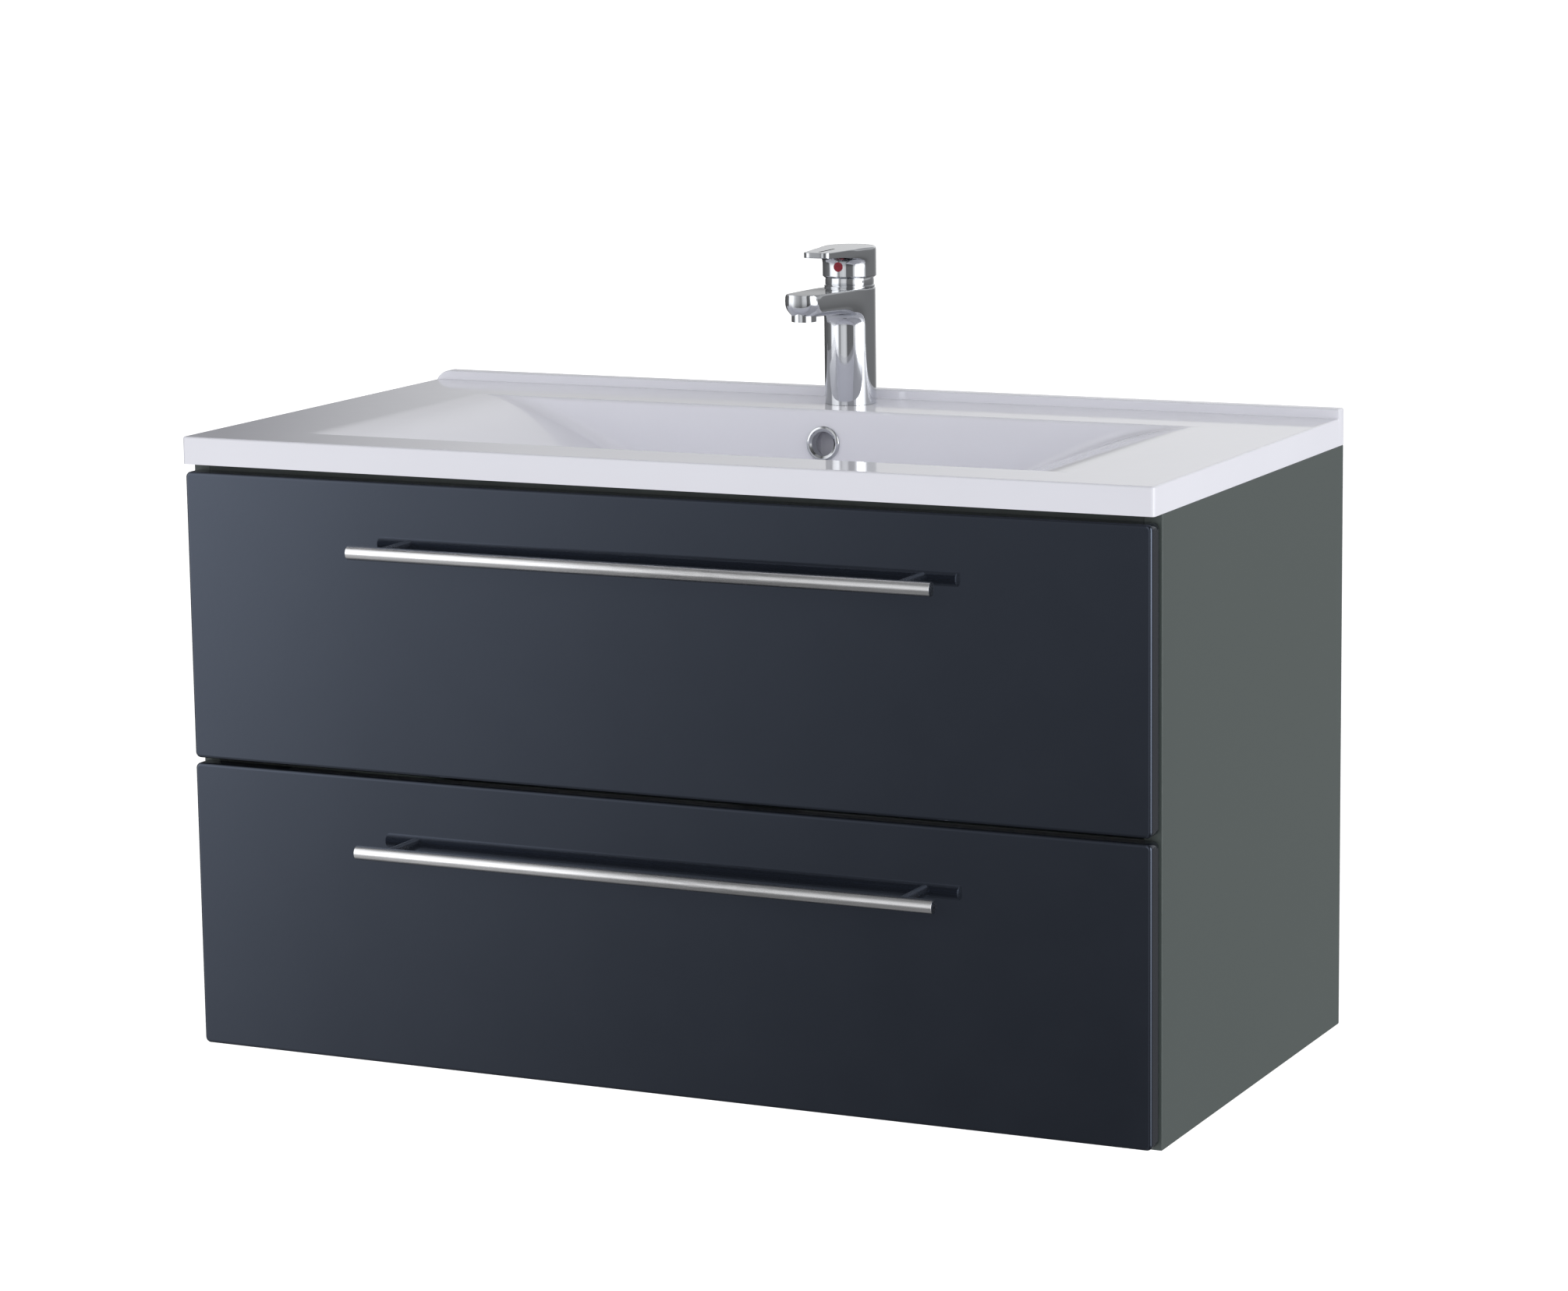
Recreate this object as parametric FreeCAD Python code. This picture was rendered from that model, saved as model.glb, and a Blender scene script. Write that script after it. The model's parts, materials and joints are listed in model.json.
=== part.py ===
import FreeCAD, Part
import math
import os

V = FreeCAD.Vector

# ---------------------------------------------------------------------------
# Driving dimensions, in millimetres. X runs to the right, Y towards the wall
# and Z up. The origin is the centre of the four wall screws, in the plane of
# the wall. A height written as below(d) lies d under the washbasin's deck.
# ---------------------------------------------------------------------------
WIDTH = 900.0              # washbasin and cabinet alike
DEPTH = 460.0              # wall to the front of washbasin and drawer fronts
DECK_Z = 110.0             # washbasin's deck above the wall screws

# washbasin
LIP = 24.0                 # height of the washbasin's edge
DECK_THICK = 12.0
SIDE_SKIRT = 16.0
FRONT_SKIRT = 32.0
CAST_WALL = 11.0           # thickness of the cast bowl
BOWL_END = 358.0           # half length of the bowl, where its end ramps start
BOWL_FLAT = 28.0           # half length of the level floor
SHELL_HALF = 326.0         # half length of the cast wall that hangs below the deck
BOWL_DEPTH = 109.0
BOWL_BACK_Y = -106.0
BOWL_FRONT_Y = -402.0
BOWL_DRAFT = math.radians(6.0)
BOWL_CREASE_R = 12.0
UPSTAND_THICK = 13.0
UPSTAND_HIGH = 8.5
DRAIN_Y = -232.0
DRAIN_BORE_R = 23.0
DRAIN_SEAT_R = 33.0        # recess in the floor for the waste's flange
BOSS_R = 34.0              # thickening under the drain
CAST_DOWN = 138.0          # underside of the boss and of the overflow duct
DUCT_HALF = 13.0           # overflow duct behind and under the bowl
DUCT_FRONT_Y = -97.0
DUCT_BACK_Y = -87.0
OVERFLOW_DOWN = 30.0
OVERFLOW_R = 12.3
TAP_Y = -50.0
TAP_HOLE_R = 17.5

# cabinet
BOARD = 16.0
BODY_FRONT_Y = -441.5      # front edge of the cabinet body
BODY_DOWN = 545.0          # underside of the cabinet body
RAIL_BACK_Y = -14.0        # back of the rear rails
DOWEL_R = 4.0
DOWEL_FIT = 0.05

# wall fixing
SCREW_HALF_X = 396.0
SCREW_HALF_Z = 16.0
SCREW_HOLE_R = 3.25

# drawers: depths of the front's edges and of the handle bar below the deck
DRAWERS = {
    "upper": {"top": 30.5, "bottom": 283.5, "bar": 88.0},
    "lower": {"top": 288.0, "bottom": 541.0, "bar": 348.4},
}
FRONT_HALF = 448.0
FRONT_CORNER_R = 5.0
FRONT_EDGE_R = 2.5
BOX_RAISE = 20.0           # drawer base above the front's lower edge
BOX_BACK_Y = -91.5
SIDE_HIGH = 84.0
SIDE_THICK = 10.0
SIDE_OUTER_X = 421.0
BACK_THICK = 12.0
GALLERY_UP = 124.0         # gallery rail above the underside of the base
GALLERY_R = 5.0
CUTOUT_HALF = 110.0        # room for the trap in the upper drawer
CUTOUT_FRONT_Y = -298.0
SURROUND_THICK = 8.0

# handles
BAR_R = 6.0
BAR_HALF = 270.0
BAR_OUT = 27.0             # axis of the bar in front of the drawer front
POST_R = 5.0
POST_X = 240.0
HANDLE_SCREW_R = 2.0

# telescopic runners, measured up and out from the middle of the profile
RUNNER_UP = 38.0           # middle of the runner above the underside of the base
RUNNER_SHEET = 1.4
RUNNER_CABINET = {"x0": 424.0, "x1": 434.0, "half": 22.5}
RUNNER_MIDDLE = {"x0": 423.4, "x1": 431.6, "half": 18.8}
RUNNER_DRAWER = {"x0": 421.3, "x1": 429.2, "half": 15.2}

# tap: heights above the deck, on the tap's own axis
TAP_R = 23.2
TAP_GASKET = 1.5
TAP_BODY_TOP = 105.4
TILT_UP = 110.0            # height of the pin that the lever tilts on
NECK_R = 21.9
CAP_R = 24.1
CAP_HOLLOW_R = 22.3
CAP_BOTTOM = 114.4
CAP_TOP = 142.0
LEVER_TIP_TOP = 141.8
LEVER_TIP_LOW = 137.2
SOCKET_TOP = 132.3
DOT_UP = 125.0
DOT_R = 4.3
LEVER_REACH = 72.0
SPOUT_REACH = 107.5
SPOUT_TIP_TOP = 107.6
AERATOR_LOW = 83.5
AERATOR_TOP = 99.0
AERATOR_REACH = 97.0
AERATOR_R = 11.0
CARTRIDGE_R = 17.4
STEM_HALF = 4.0            # half the stem's square
INLET_R = 4.5
INLET_X = 9.5
INLET_Y = 6.0
STUD_Y = -12.0

# waste and trap: depths below the deck
WASTE_R = 21.6
WASTE_BORE_R = 19.6
TAIL_R = 16.0
TAIL_BORE_R = 14.4
TRAP_R = 30.0
OUTLET_DOWN = 214.0
BRANCH_END_Y = DRAIN_Y + 46.0


# ---------------------------------------------------------------------------
# Helpers
# ---------------------------------------------------------------------------
def below(depth):
    """Height of a level that lies the given depth under the washbasin's deck."""
    return DECK_Z - depth


def box(x0, x1, y0, y1, z0, z1):
    return Part.makeBox(x1 - x0, y1 - y0, z1 - z0, V(x0, y0, z0))


def rod(start, stop, radius):
    axis = V(*stop) - V(*start)
    return Part.makeCylinder(radius, axis.Length, V(*start), axis)


def pipe(start, stop, radius, bore):
    return rod(start, stop, radius).cut(rod(start, stop, bore))


def both_sides(shape):
    """The shape and its mirror image across the cabinet's middle."""
    return [shape, shape.mirror(V(0, 0, 0), V(1, 0, 0))]


def group(shapes):
    return shapes[0] if len(shapes) == 1 else Part.makeCompound(shapes)


def rounded_face(corners, place):
    """Closed face through (u, v, radius) corners, each rounded by its radius."""
    marks = []
    count = len(corners)
    for index, (u, v, radius) in enumerate(corners):
        here = V(u, v, 0)
        if radius == 0:
            marks.append((here, here, here))
            continue
        before = V(corners[index - 1][0], corners[index - 1][1], 0) - here
        after = V(corners[(index + 1) % count][0], corners[(index + 1) % count][1], 0) - here
        before.normalize()
        after.normalize()
        half = before.getAngle(after) / 2
        bisector = (before + after).normalize()
        cut = radius / math.tan(half)
        nearest = here + bisector * (radius / math.sin(half) - radius)
        marks.append((here + before * cut, nearest, here + after * cut))
    edges = []
    for index, (start, middle, stop) in enumerate(marks):
        if start.distanceToPoint(stop) > 1e-6:
            edges.append(Part.Arc(place(start), place(middle), place(stop)).toShape())
        following = marks[(index + 1) % count][0]
        if stop.distanceToPoint(following) > 1e-6:
            edges.append(Part.LineSegment(place(stop), place(following)).toShape())
    return Part.Face(Part.Wire(edges))


def plan_prism(corners, z0, z1, centre=(0.0, 0.0)):
    """Outline seen from above, drawn out upwards."""
    face = rounded_face(corners, lambda p: V(p.x + centre[0], p.y + centre[1], z0))
    return face.extrude(V(0, 0, z1 - z0))


def side_prism(corners, x0, x1):
    """Outline of (y, z) corners seen from the side, drawn out along X."""
    face = rounded_face(corners, lambda p: V(x0, p.x, p.y))
    return face.extrude(V(x1 - x0, 0, 0))


def turned(corners, x, y):
    """Outline of (radius, z, rounding) corners turned about an upright axis."""
    face = rounded_face(corners, lambda p: V(x + p.x, y, p.y))
    return face.revolve(V(x, y, 0), V(0, 0, 1), 360)


def edges_where(shape, test):
    return [edge for edge in shape.Edges if test(edge.BoundBox)]


# ---------------------------------------------------------------------------
# Washbasin
# ---------------------------------------------------------------------------
def bowl_block(grow):
    """The bowl's hollow, or with grow the solid that its cast wall fills."""
    floor_z = below(BOWL_DEPTH) - grow
    rim_z = DECK_Z - grow
    top_z = DECK_Z + 20.0
    side_x = BOWL_END + 42.0
    third = (BOWL_END - BOWL_FLAT) / 3

    def ramp(side):
        run = [BOWL_END, BOWL_END - third, BOWL_FLAT + third, BOWL_FLAT]
        poles = [V(side * x, 0, z) for x, z in zip(run, (rim_z, rim_z, floor_z, floor_z))]
        curve = Part.BezierCurve()
        curve.setPoles(poles)
        return curve.toShape()

    frame = [V(-BOWL_END, 0, rim_z), V(-side_x, 0, rim_z), V(-side_x, 0, top_z),
             V(side_x, 0, top_z), V(side_x, 0, rim_z), V(BOWL_END, 0, rim_z)]
    edges = [Part.LineSegment(a, b).toShape() for a, b in zip(frame, frame[1:])]
    edges.append(ramp(1))
    edges.append(Part.LineSegment(V(BOWL_FLAT, 0, floor_z), V(-BOWL_FLAT, 0, floor_z)).toShape())
    edges.append(ramp(-1))
    long_section = Part.Face(Part.Wire(Part.__sortEdges__(edges)))
    length = long_section.extrude(V(0, -DEPTH, 0))

    slope = math.tan(BOWL_DRAFT)
    back_top = BOWL_BACK_Y + grow + 20.0 * slope
    front_top = BOWL_FRONT_Y - grow - 20.0 * slope
    deep = 180.0
    cross = side_prism([(back_top, top_z, 0), (back_top - deep * slope, top_z - deep, 0),
                        (front_top + deep * slope, top_z - deep, 0), (front_top, top_z, 0)],
                       -side_x - 1.0, side_x + 1.0)
    block = length.common(cross)
    creases = edges_where(block, lambda b: b.ZMax < top_z - 1.0 and b.XLength > 1.0)
    return block.makeFillet(BOWL_CREASE_R + grow, creases)


def wall_y(depth):
    """Y of the bowl's back wall at a depth below the deck."""
    return BOWL_BACK_Y - depth * math.tan(BOWL_DRAFT)


def overflow_axis():
    centre = V(0, wall_y(OVERFLOW_DOWN), below(OVERFLOW_DOWN))
    inward = V(0, math.cos(BOWL_DRAFT), -math.sin(BOWL_DRAFT))
    return centre, inward


def upstand():
    half = WIDTH / 2
    low = DECK_Z - 4.0
    high = DECK_Z + UPSTAND_HIGH
    end_run = 14.0
    end_r = (end_run ** 2 + UPSTAND_HIGH ** 2) / (2 * UPSTAND_HIGH)
    turn = math.asin(end_run / end_r) / 2
    on_arc = V(-half + end_run - end_r * math.sin(turn), 0, high - end_r * (1 - math.cos(turn)))
    points = [V(-half, 0, DECK_Z), V(-half, 0, low), V(half, 0, low), V(half, 0, high),
              V(-half + end_run, 0, high)]
    edges = [Part.LineSegment(a, b).toShape() for a, b in zip(points, points[1:])]
    edges.append(Part.Arc(points[-1], on_arc, points[0]).toShape())
    solid = Part.Face(Part.Wire(edges)).extrude(V(0, -UPSTAND_THICK, 0))
    return solid.makeFillet(2.0, edges_where(solid, lambda b: b.ZMin > high - 0.1 and b.XLength > 100
                                             and b.YMax < -1))


def washbasin():
    half = WIDTH / 2
    slab = box(-half, half, -DEPTH, 0, below(LIP), DECK_Z)
    slab = slab.makeFillet(3.0, edges_where(slab, lambda b: b.ZLength > 1 and b.YMax < -1))
    rims = edges_where(slab, lambda b: b.ZMin > DECK_Z - 0.1 and b.YMin < -1)
    slab = slab.makeFillet(2.0, rims)
    pocket = box(-half + SIDE_SKIRT, half - SIDE_SKIRT, -DEPTH + FRONT_SKIRT, -SIDE_SKIRT,
                 below(LIP) - 1, below(DECK_THICK))
    under_deck = box(-SHELL_HALF, SHELL_HALF, -DEPTH, 0, below(200), below(2))
    shell = bowl_block(CAST_WALL).common(under_deck)
    housing = box(-DUCT_HALF - 7, DUCT_HALF + 7, DUCT_FRONT_Y - 17, DUCT_BACK_Y + 6,
                  below(CAST_DOWN), below(DECK_THICK - 2))
    foot = box(-DUCT_HALF - 7, DUCT_HALF + 7, DRAIN_Y, DUCT_BACK_Y + 6, below(CAST_DOWN), below(116))
    boss = rod((0, DRAIN_Y, below(CAST_DOWN)), (0, DRAIN_Y, below(112)), BOSS_R)
    basin = slab.cut(pocket).fuse([shell, housing, foot, boss, upstand()]).removeSplitter()

    centre, inward = overflow_axis()
    overflow = Part.makeCylinder(OVERFLOW_R, 22.0, centre - inward * 6, inward)
    duct_low = below(CAST_DOWN - 6)
    upright_duct = box(-DUCT_HALF, DUCT_HALF, DUCT_FRONT_Y, DUCT_BACK_Y, duct_low, below(16.5))
    level_duct = box(-DUCT_HALF, DUCT_HALF, DRAIN_Y, DUCT_BACK_Y, duct_low, below(123))
    bore = rod((0, DRAIN_Y, below(140)), (0, DRAIN_Y, below(100)), DRAIN_BORE_R)
    seat = rod((0, DRAIN_Y, below(BOWL_DEPTH + 4)), (0, DRAIN_Y, below(100)), DRAIN_SEAT_R)
    tap_hole = rod((0, TAP_Y, below(40)), (0, TAP_Y, DECK_Z + 1), TAP_HOLE_R)
    return divided(basin.cut([bowl_block(0.0), overflow, upright_duct, level_duct, bore, seat,
                              tap_hole]))


def divided(basin):
    """The casting as plain solids that touch face to face, so that its hollows stay open."""
    side, front = WIDTH / 2, -DEPTH
    inner_x, inner_front, inner_back = side - SIDE_SKIRT, front + FRONT_SKIRT, -SIDE_SKIRT
    deck_back, deck_front = BOWL_BACK_Y - 13, BOWL_FRONT_Y + 13
    floor_back, floor_front = BOWL_BACK_Y - 25, BOWL_FRONT_Y + 25
    mid, near, far, outer = 21, 34, 110, 193     # cuts across the casting, out from its middle
    deck = [(-side, side, -UPSTAND_THICK, 0), (-side, -mid, deck_back, -UPSTAND_THICK),
            (-mid, mid, deck_back, -UPSTAND_THICK), (mid, side, deck_back, -UPSTAND_THICK),
            (-side, side, front, deck_front), (-side, 0, deck_front, deck_back),
            (0, side, deck_front, deck_back)]
    skirt = [(-side, side, front, inner_front), (-side, side, inner_back, 0),
             (-side, -inner_x, inner_front, inner_back), (inner_x, side, inner_front, inner_back)]
    cuts = [-inner_x, -outer, -far, -near, near, far, outer, inner_x]
    shell = [(x0, x1, floor_front, floor_back) for x0, x1 in zip(cuts, cuts[1:])]
    cuts = [-inner_x, -outer, -mid, mid, outer, inner_x]
    shell += [(x0, x1, floor_back, inner_back) for x0, x1 in zip(cuts, cuts[1:])]
    cuts = [-inner_x, -outer, outer, inner_x]
    shell += [(x0, x1, inner_front, floor_front) for x0, x1 in zip(cuts, cuts[1:])]
    under = below(DECK_THICK)
    cells = [box(*cell, under, DECK_Z + 20) for cell in deck]
    cells += [box(*cell, below(160), under) for cell in skirt + shell]
    return Part.makeCompound([solid for cell in cells for solid in basin.common(cell).Solids])


def overflow_ring():
    """Trim ring: a rounded flange on the bowl's wall and a short sleeve in the hole."""
    profile = [(11.0, -8.0, 0), (12.0, -8.0, 0), (12.0, 0.0, 0), (15.8, 0.0, 0),
               (15.8, 2.4, 1.0), (13.4, 3.2, 1.0), (11.0, 1.6, 0)]
    ring = turned(profile, 0, 0)
    centre, _ = overflow_axis()
    ring.rotate(V(0, 0, 0), V(1, 0, 0), 90 - math.degrees(BOWL_DRAFT))
    ring.translate(centre)
    return ring


# ---------------------------------------------------------------------------
# Cabinet body
# ---------------------------------------------------------------------------
INNER_HALF = WIDTH / 2 - BOARD

CROSS_BOARDS = {
    "bottom_panel": (BODY_FRONT_Y, 0.0, BODY_DOWN, BODY_DOWN - BOARD),
    "front_rail": (BODY_FRONT_Y, BODY_FRONT_Y + BOARD, 74.0, LIP),
    "rear_rail": (RAIL_BACK_Y - BOARD, RAIL_BACK_Y, 84.0, LIP),
    "rear_panel": (RAIL_BACK_Y - BOARD, RAIL_BACK_Y, BODY_DOWN - BOARD, 340.0),
}
DOWELS = [(-400.0, 537.0), (-60.0, 537.0), (-433.5, 36.0), (-433.5, 62.0), (-22.0, 34.0),
          (-22.0, 78.0), (-22.0, 370.0), (-22.0, 500.0)]


def dowel_rods(radius, spare):
    """Dowels between the cross boards and the sides, or with spare their holes."""
    rods = []
    for y, depth in DOWELS:
        pin = rod((INNER_HALF - 20 - spare, y, below(depth)),
                  (INNER_HALF + 10 + spare, y, below(depth)), radius)
        rods += both_sides(pin)
    return rods


def side_panel(side):
    panel = box(INNER_HALF, WIDTH / 2, BODY_FRONT_Y, 0, below(BODY_DOWN), below(LIP))
    panel = panel.makeFillet(0.8, edges_where(panel, lambda b: b.XMin > INNER_HALF + 1
                                              and b.YMax < -1))
    if side < 0:
        panel = panel.mirror(V(0, 0, 0), V(1, 0, 0))
    return panel.cut(dowel_rods(DOWEL_R + DOWEL_FIT, 1.0))


def cross_board(name):
    y0, y1, deep, high = CROSS_BOARDS[name]
    board = box(-INNER_HALF, INNER_HALF, y0, y1, below(deep), below(high))
    board = board.cut(dowel_rods(DOWEL_R + DOWEL_FIT, 1.0))
    if name == "rear_rail":
        board = board.cut(both_sides(box(417, INNER_HALF + 1, y0 - 1, y1 + 1, 44.0, 58.0)))
    return board


def cabinet_hangers():
    """Block on each side panel whose hook reaches over the wall plate."""
    block = box(418, INNER_HALF, -80, -30.3, 20, 72)
    block = block.makeFillet(2.0, edges_where(block, lambda b: b.XLength > 1 and b.YMax < -70))
    arm = box(419, 431, -31, -2.2, 46, 56)
    tip = box(419, 431, -5.2, -2.2, 36, 47)
    return group(both_sides(block.fuse([arm, tip]).removeSplitter()))


def wall_plates():
    """Steel plates for the wall screws, with a raised edge for the hooks."""
    x0, x1 = 374.0, 430.0
    flat = box(x0, x1, -2.5, 0, -28, 30)
    step = box(x0, x1, -8.0, 0, 27.5, 30)
    edge = box(x0, x1, -8.0, -5.5, 27.5, 46)
    plate = flat.fuse([step, edge]).removeSplitter()
    for z in (-SCREW_HALF_Z, SCREW_HALF_Z):
        plate = plate.cut(rod((SCREW_HALF_X, -10, z), (SCREW_HALF_X, 1, z), SCREW_HOLE_R))
    return group(both_sides(plate))


def front_bumpers():
    """Soft dots on the cabinet's front edges that the drawer fronts close on."""
    dots = []
    for drawer in DRAWERS.values():
        for depth in (drawer["top"] + 20, drawer["bottom"] - 20):
            dot = rod((442, BODY_FRONT_Y - 2.3, below(depth)), (442, BODY_FRONT_Y, below(depth)), 4.0)
            dots += both_sides(dot)
    return group(dots)


# ---------------------------------------------------------------------------
# Drawers and runners
# ---------------------------------------------------------------------------
def base_z(name):
    return below(DRAWERS[name]["bottom"] - BOX_RAISE)


def channel(profile, opens_in, z, y0, y1):
    """Runner section on the right: an outer box less its hollow."""
    x0, x1, half = profile["x0"], profile["x1"], profile["half"]
    shift = -RUNNER_SHEET if opens_in else RUNNER_SHEET
    bar = box(x0, x1, y0, y1, z - half, z + half)
    hollow = box(x0 + shift, x1 + shift, y0 - 1, y1 + 1,
                 z - half + RUNNER_SHEET, z + half - RUNNER_SHEET)
    return bar.cut(hollow)


def runners(name, profile, opens_in, y0, y1):
    z = base_z(name) + RUNNER_UP
    return group(both_sides(channel(profile, opens_in, z, y0, y1)))


def drawer_front(name):
    drawer = DRAWERS[name]
    face_y = -DEPTH
    panel = box(-FRONT_HALF, FRONT_HALF, face_y, face_y + BOARD,
                below(drawer["bottom"]), below(drawer["top"]))
    panel = panel.makeFillet(FRONT_CORNER_R, edges_where(panel, lambda b: b.YLength > 1))
    panel = panel.makeFillet(FRONT_EDGE_R, edges_where(panel, lambda b: b.YMax < face_y + 0.1))
    holes = [rod((x, face_y - 1, below(drawer["bar"])),
                 (x, face_y + BOARD + 1, below(drawer["bar"])), HANDLE_SCREW_R + 0.3)
             for x in (-POST_X, POST_X)]
    return panel.cut(holes)


def drawer_side(name, side):
    z = base_z(name)
    wall = box(SIDE_OUTER_X - SIDE_THICK, SIDE_OUTER_X, BODY_FRONT_Y, BOX_BACK_Y, z, z + SIDE_HIGH)
    wall = wall.makeFillet(3.0, edges_where(wall, lambda b: b.ZMin > z + 1 and b.YLength > 1))
    return wall if side > 0 else wall.mirror(V(0, 0, 0), V(1, 0, 0))


def drawer_base(name):
    z = base_z(name)
    inner = SIDE_OUTER_X - SIDE_THICK
    base = box(-inner, inner, -DEPTH + BOARD, BOX_BACK_Y, z, z + BOARD)
    if name == "upper":
        base = base.cut(box(-CUTOUT_HALF, CUTOUT_HALF, CUTOUT_FRONT_Y, 0, z - 1, z + BOARD + 1))
    return base


def drawer_back(name):
    z = base_z(name)
    inner = SIDE_OUTER_X - SIDE_THICK
    back = box(-inner, inner, BOX_BACK_Y - BACK_THICK, BOX_BACK_Y, z + BOARD, z + SIDE_HIGH)
    if name == "upper":
        gap = CUTOUT_HALF + SURROUND_THICK
        return back.cut(box(-gap, gap, BOX_BACK_Y - BACK_THICK, BOX_BACK_Y, z, z + SIDE_HIGH))
    return back


def trap_surround():
    """U-shaped wall in the upper drawer that keeps its contents off the trap."""
    z0, z1 = base_z("upper") + BOARD, base_z("upper") + SIDE_HIGH
    outer = CUTOUT_HALF + SURROUND_THICK
    front = CUTOUT_FRONT_Y - SURROUND_THICK
    solid = plan_prism([(-outer, front, 20), (outer, front, 20), (outer, BOX_BACK_Y, 0),
                        (-outer, BOX_BACK_Y, 0)], z0, z1)
    hollow = plan_prism([(-CUTOUT_HALF, CUTOUT_FRONT_Y, 12), (CUTOUT_HALF, CUTOUT_FRONT_Y, 12),
                         (CUTOUT_HALF, 0, 0), (-CUTOUT_HALF, 0, 0)], z0 - 1, z1 + 1)
    return solid.cut(hollow)


def front_brackets(name):
    """Angles that join the drawer's sides to its front."""
    z0, z1 = base_z(name) + BOARD + 2, base_z(name) + SIDE_HIGH - 4
    inner = SIDE_OUTER_X - SIDE_THICK
    plate = box(inner - 26, SIDE_OUTER_X, -DEPTH + BOARD, BODY_FRONT_Y, z0, z1)
    leg = box(inner - 2, inner, -DEPTH + BOARD, BODY_FRONT_Y + 34, z0, z1)
    return group(both_sides(plate.fuse(leg).removeSplitter()))


def gallery_rails(name):
    """Round rail above each drawer side, on a post at the back."""
    z = base_z(name)
    x = SIDE_OUTER_X - SIDE_THICK / 2
    rail = rod((x, -DEPTH + BOARD, z + GALLERY_UP), (x, BOX_BACK_Y - 5, z + GALLERY_UP), GALLERY_R)
    post = box(x - 4, x + 4, BOX_BACK_Y - 10, BOX_BACK_Y, z + SIDE_HIGH, z + GALLERY_UP + 7)
    return group(both_sides(rail.fuse(post)))


def handle_bar(name):
    z = below(DRAWERS[name]["bar"])
    y = -DEPTH - BAR_OUT
    bar = rod((-BAR_HALF, y, z), (BAR_HALF, y, z), BAR_R)
    return bar.makeChamfer(0.8, edges_where(bar, lambda b: b.XLength < 0.1))


def handle_posts(name):
    """Spacers between bar and front, hollow for the screws, scooped to fit the bar."""
    z = below(DRAWERS[name]["bar"])
    axis_y = -DEPTH - BAR_OUT
    post = rod((POST_X, axis_y + 2, z), (POST_X, -DEPTH, z), POST_R)
    post = post.cut(rod((POST_X - 9, axis_y, z), (POST_X + 9, axis_y, z), BAR_R))
    post = post.cut(rod((POST_X, -DEPTH - 15, z), (POST_X, -DEPTH + 1, z), HANDLE_SCREW_R + 0.1))
    return group(both_sides(post))


def handle_screws(name):
    z = below(DRAWERS[name]["bar"])
    back_y = -DEPTH + BOARD
    shank = rod((POST_X, -DEPTH - 13, z), (POST_X, back_y, z), HANDLE_SCREW_R)
    head = rod((POST_X, back_y, z), (POST_X, back_y + 2.2, z), 4.0)
    return group(both_sides(shank.fuse(head)))


# ---------------------------------------------------------------------------
# Waste and trap
# ---------------------------------------------------------------------------
def waste_body():
    """Flanged waste with overflow slots, a guide for the plug's stem and a thin tail."""
    flange_top = below(BOWL_DEPTH - 0.3)
    seat = below(BOWL_DEPTH + 2.5)
    shoulder = below(172)
    end = below(192)
    outline = [(WASTE_BORE_R + 1.6, flange_top, 0), (32.5, flange_top - 1.0, 0.6), (32.5, seat, 0),
               (WASTE_R, seat, 0), (WASTE_R, shoulder, 0), (TAIL_R, shoulder - 4, 0), (TAIL_R, end, 0),
               (TAIL_BORE_R, end, 0), (TAIL_BORE_R, shoulder, 0), (WASTE_BORE_R, shoulder + 6, 0),
               (WASTE_BORE_R, flange_top - 6, 0)]
    body = turned(outline, 0, DRAIN_Y)
    guide_z = below(152)
    bridge = box(-WASTE_BORE_R - 1, WASTE_BORE_R + 1, DRAIN_Y - 4, DRAIN_Y + 4, guide_z, guide_z + 5)
    hub = rod((0, DRAIN_Y, guide_z), (0, DRAIN_Y, guide_z + 8), 7.0)
    guide = bridge.fuse(hub).cut(rod((0, DRAIN_Y, guide_z - 1), (0, DRAIN_Y, guide_z + 9), 4.06))
    slots = [box(-30, 30, DRAIN_Y - 5, DRAIN_Y + 5, below(131), below(124)),
             box(-5, 5, DRAIN_Y - 30, DRAIN_Y + 30, below(131), below(124))]
    return body.cut(slots).fuse(guide).removeSplitter()


def waste_seals():
    upper = pipe((0, DRAIN_Y, below(BOWL_DEPTH + 4)), (0, DRAIN_Y, below(BOWL_DEPTH + 2.5)), 31.5, 22.3)
    lower = pipe((0, DRAIN_Y, below(143)), (0, DRAIN_Y, below(138)), 31.0, 22.0)
    return group([upper, lower])


def waste_nut():
    nut = pipe((0, DRAIN_Y, below(154)), (0, DRAIN_Y, below(143)), 32.0, 21.9)
    grips = [rod((32.5 * math.cos(a), DRAIN_Y + 32.5 * math.sin(a), below(155)),
                 (32.5 * math.cos(a), DRAIN_Y + 32.5 * math.sin(a), below(142)), 3.0)
             for a in (math.radians(30 + 60 * i) for i in range(6))]
    return nut.cut(grips)


def drain_plug():
    """Domed push-open plug on a stem that slides in the waste's guide."""
    top = below(BOWL_DEPTH - 2.2)
    cap_r = WASTE_BORE_R - 0.6
    outline = [(0, top - 4.6, 0), (cap_r, top - 4.6, 0), (cap_r, top - 2.0, 1.0), (0, top, 0)]
    cap = turned(outline, 0, DRAIN_Y)
    stem = rod((0, DRAIN_Y, below(166)), (0, DRAIN_Y, top - 4), 4.0)
    return cap.fuse(stem).removeSplitter()


def trap_dip_tube():
    return pipe((0, DRAIN_Y, below(262)), (0, DRAIN_Y, below(192.3)), TAIL_R - 0.3, TAIL_BORE_R)


def trap_nuts():
    inlet = pipe((0, DRAIN_Y, below(200)), (0, DRAIN_Y, below(180)), 23.0, TAIL_R + 0.3)
    outlet = pipe((0, BRANCH_END_Y, below(OUTLET_DOWN)), (0, BRANCH_END_Y + 20, below(OUTLET_DOWN)),
                  23.0, TAIL_R + 0.3)
    return group([inlet, outlet])


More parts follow.
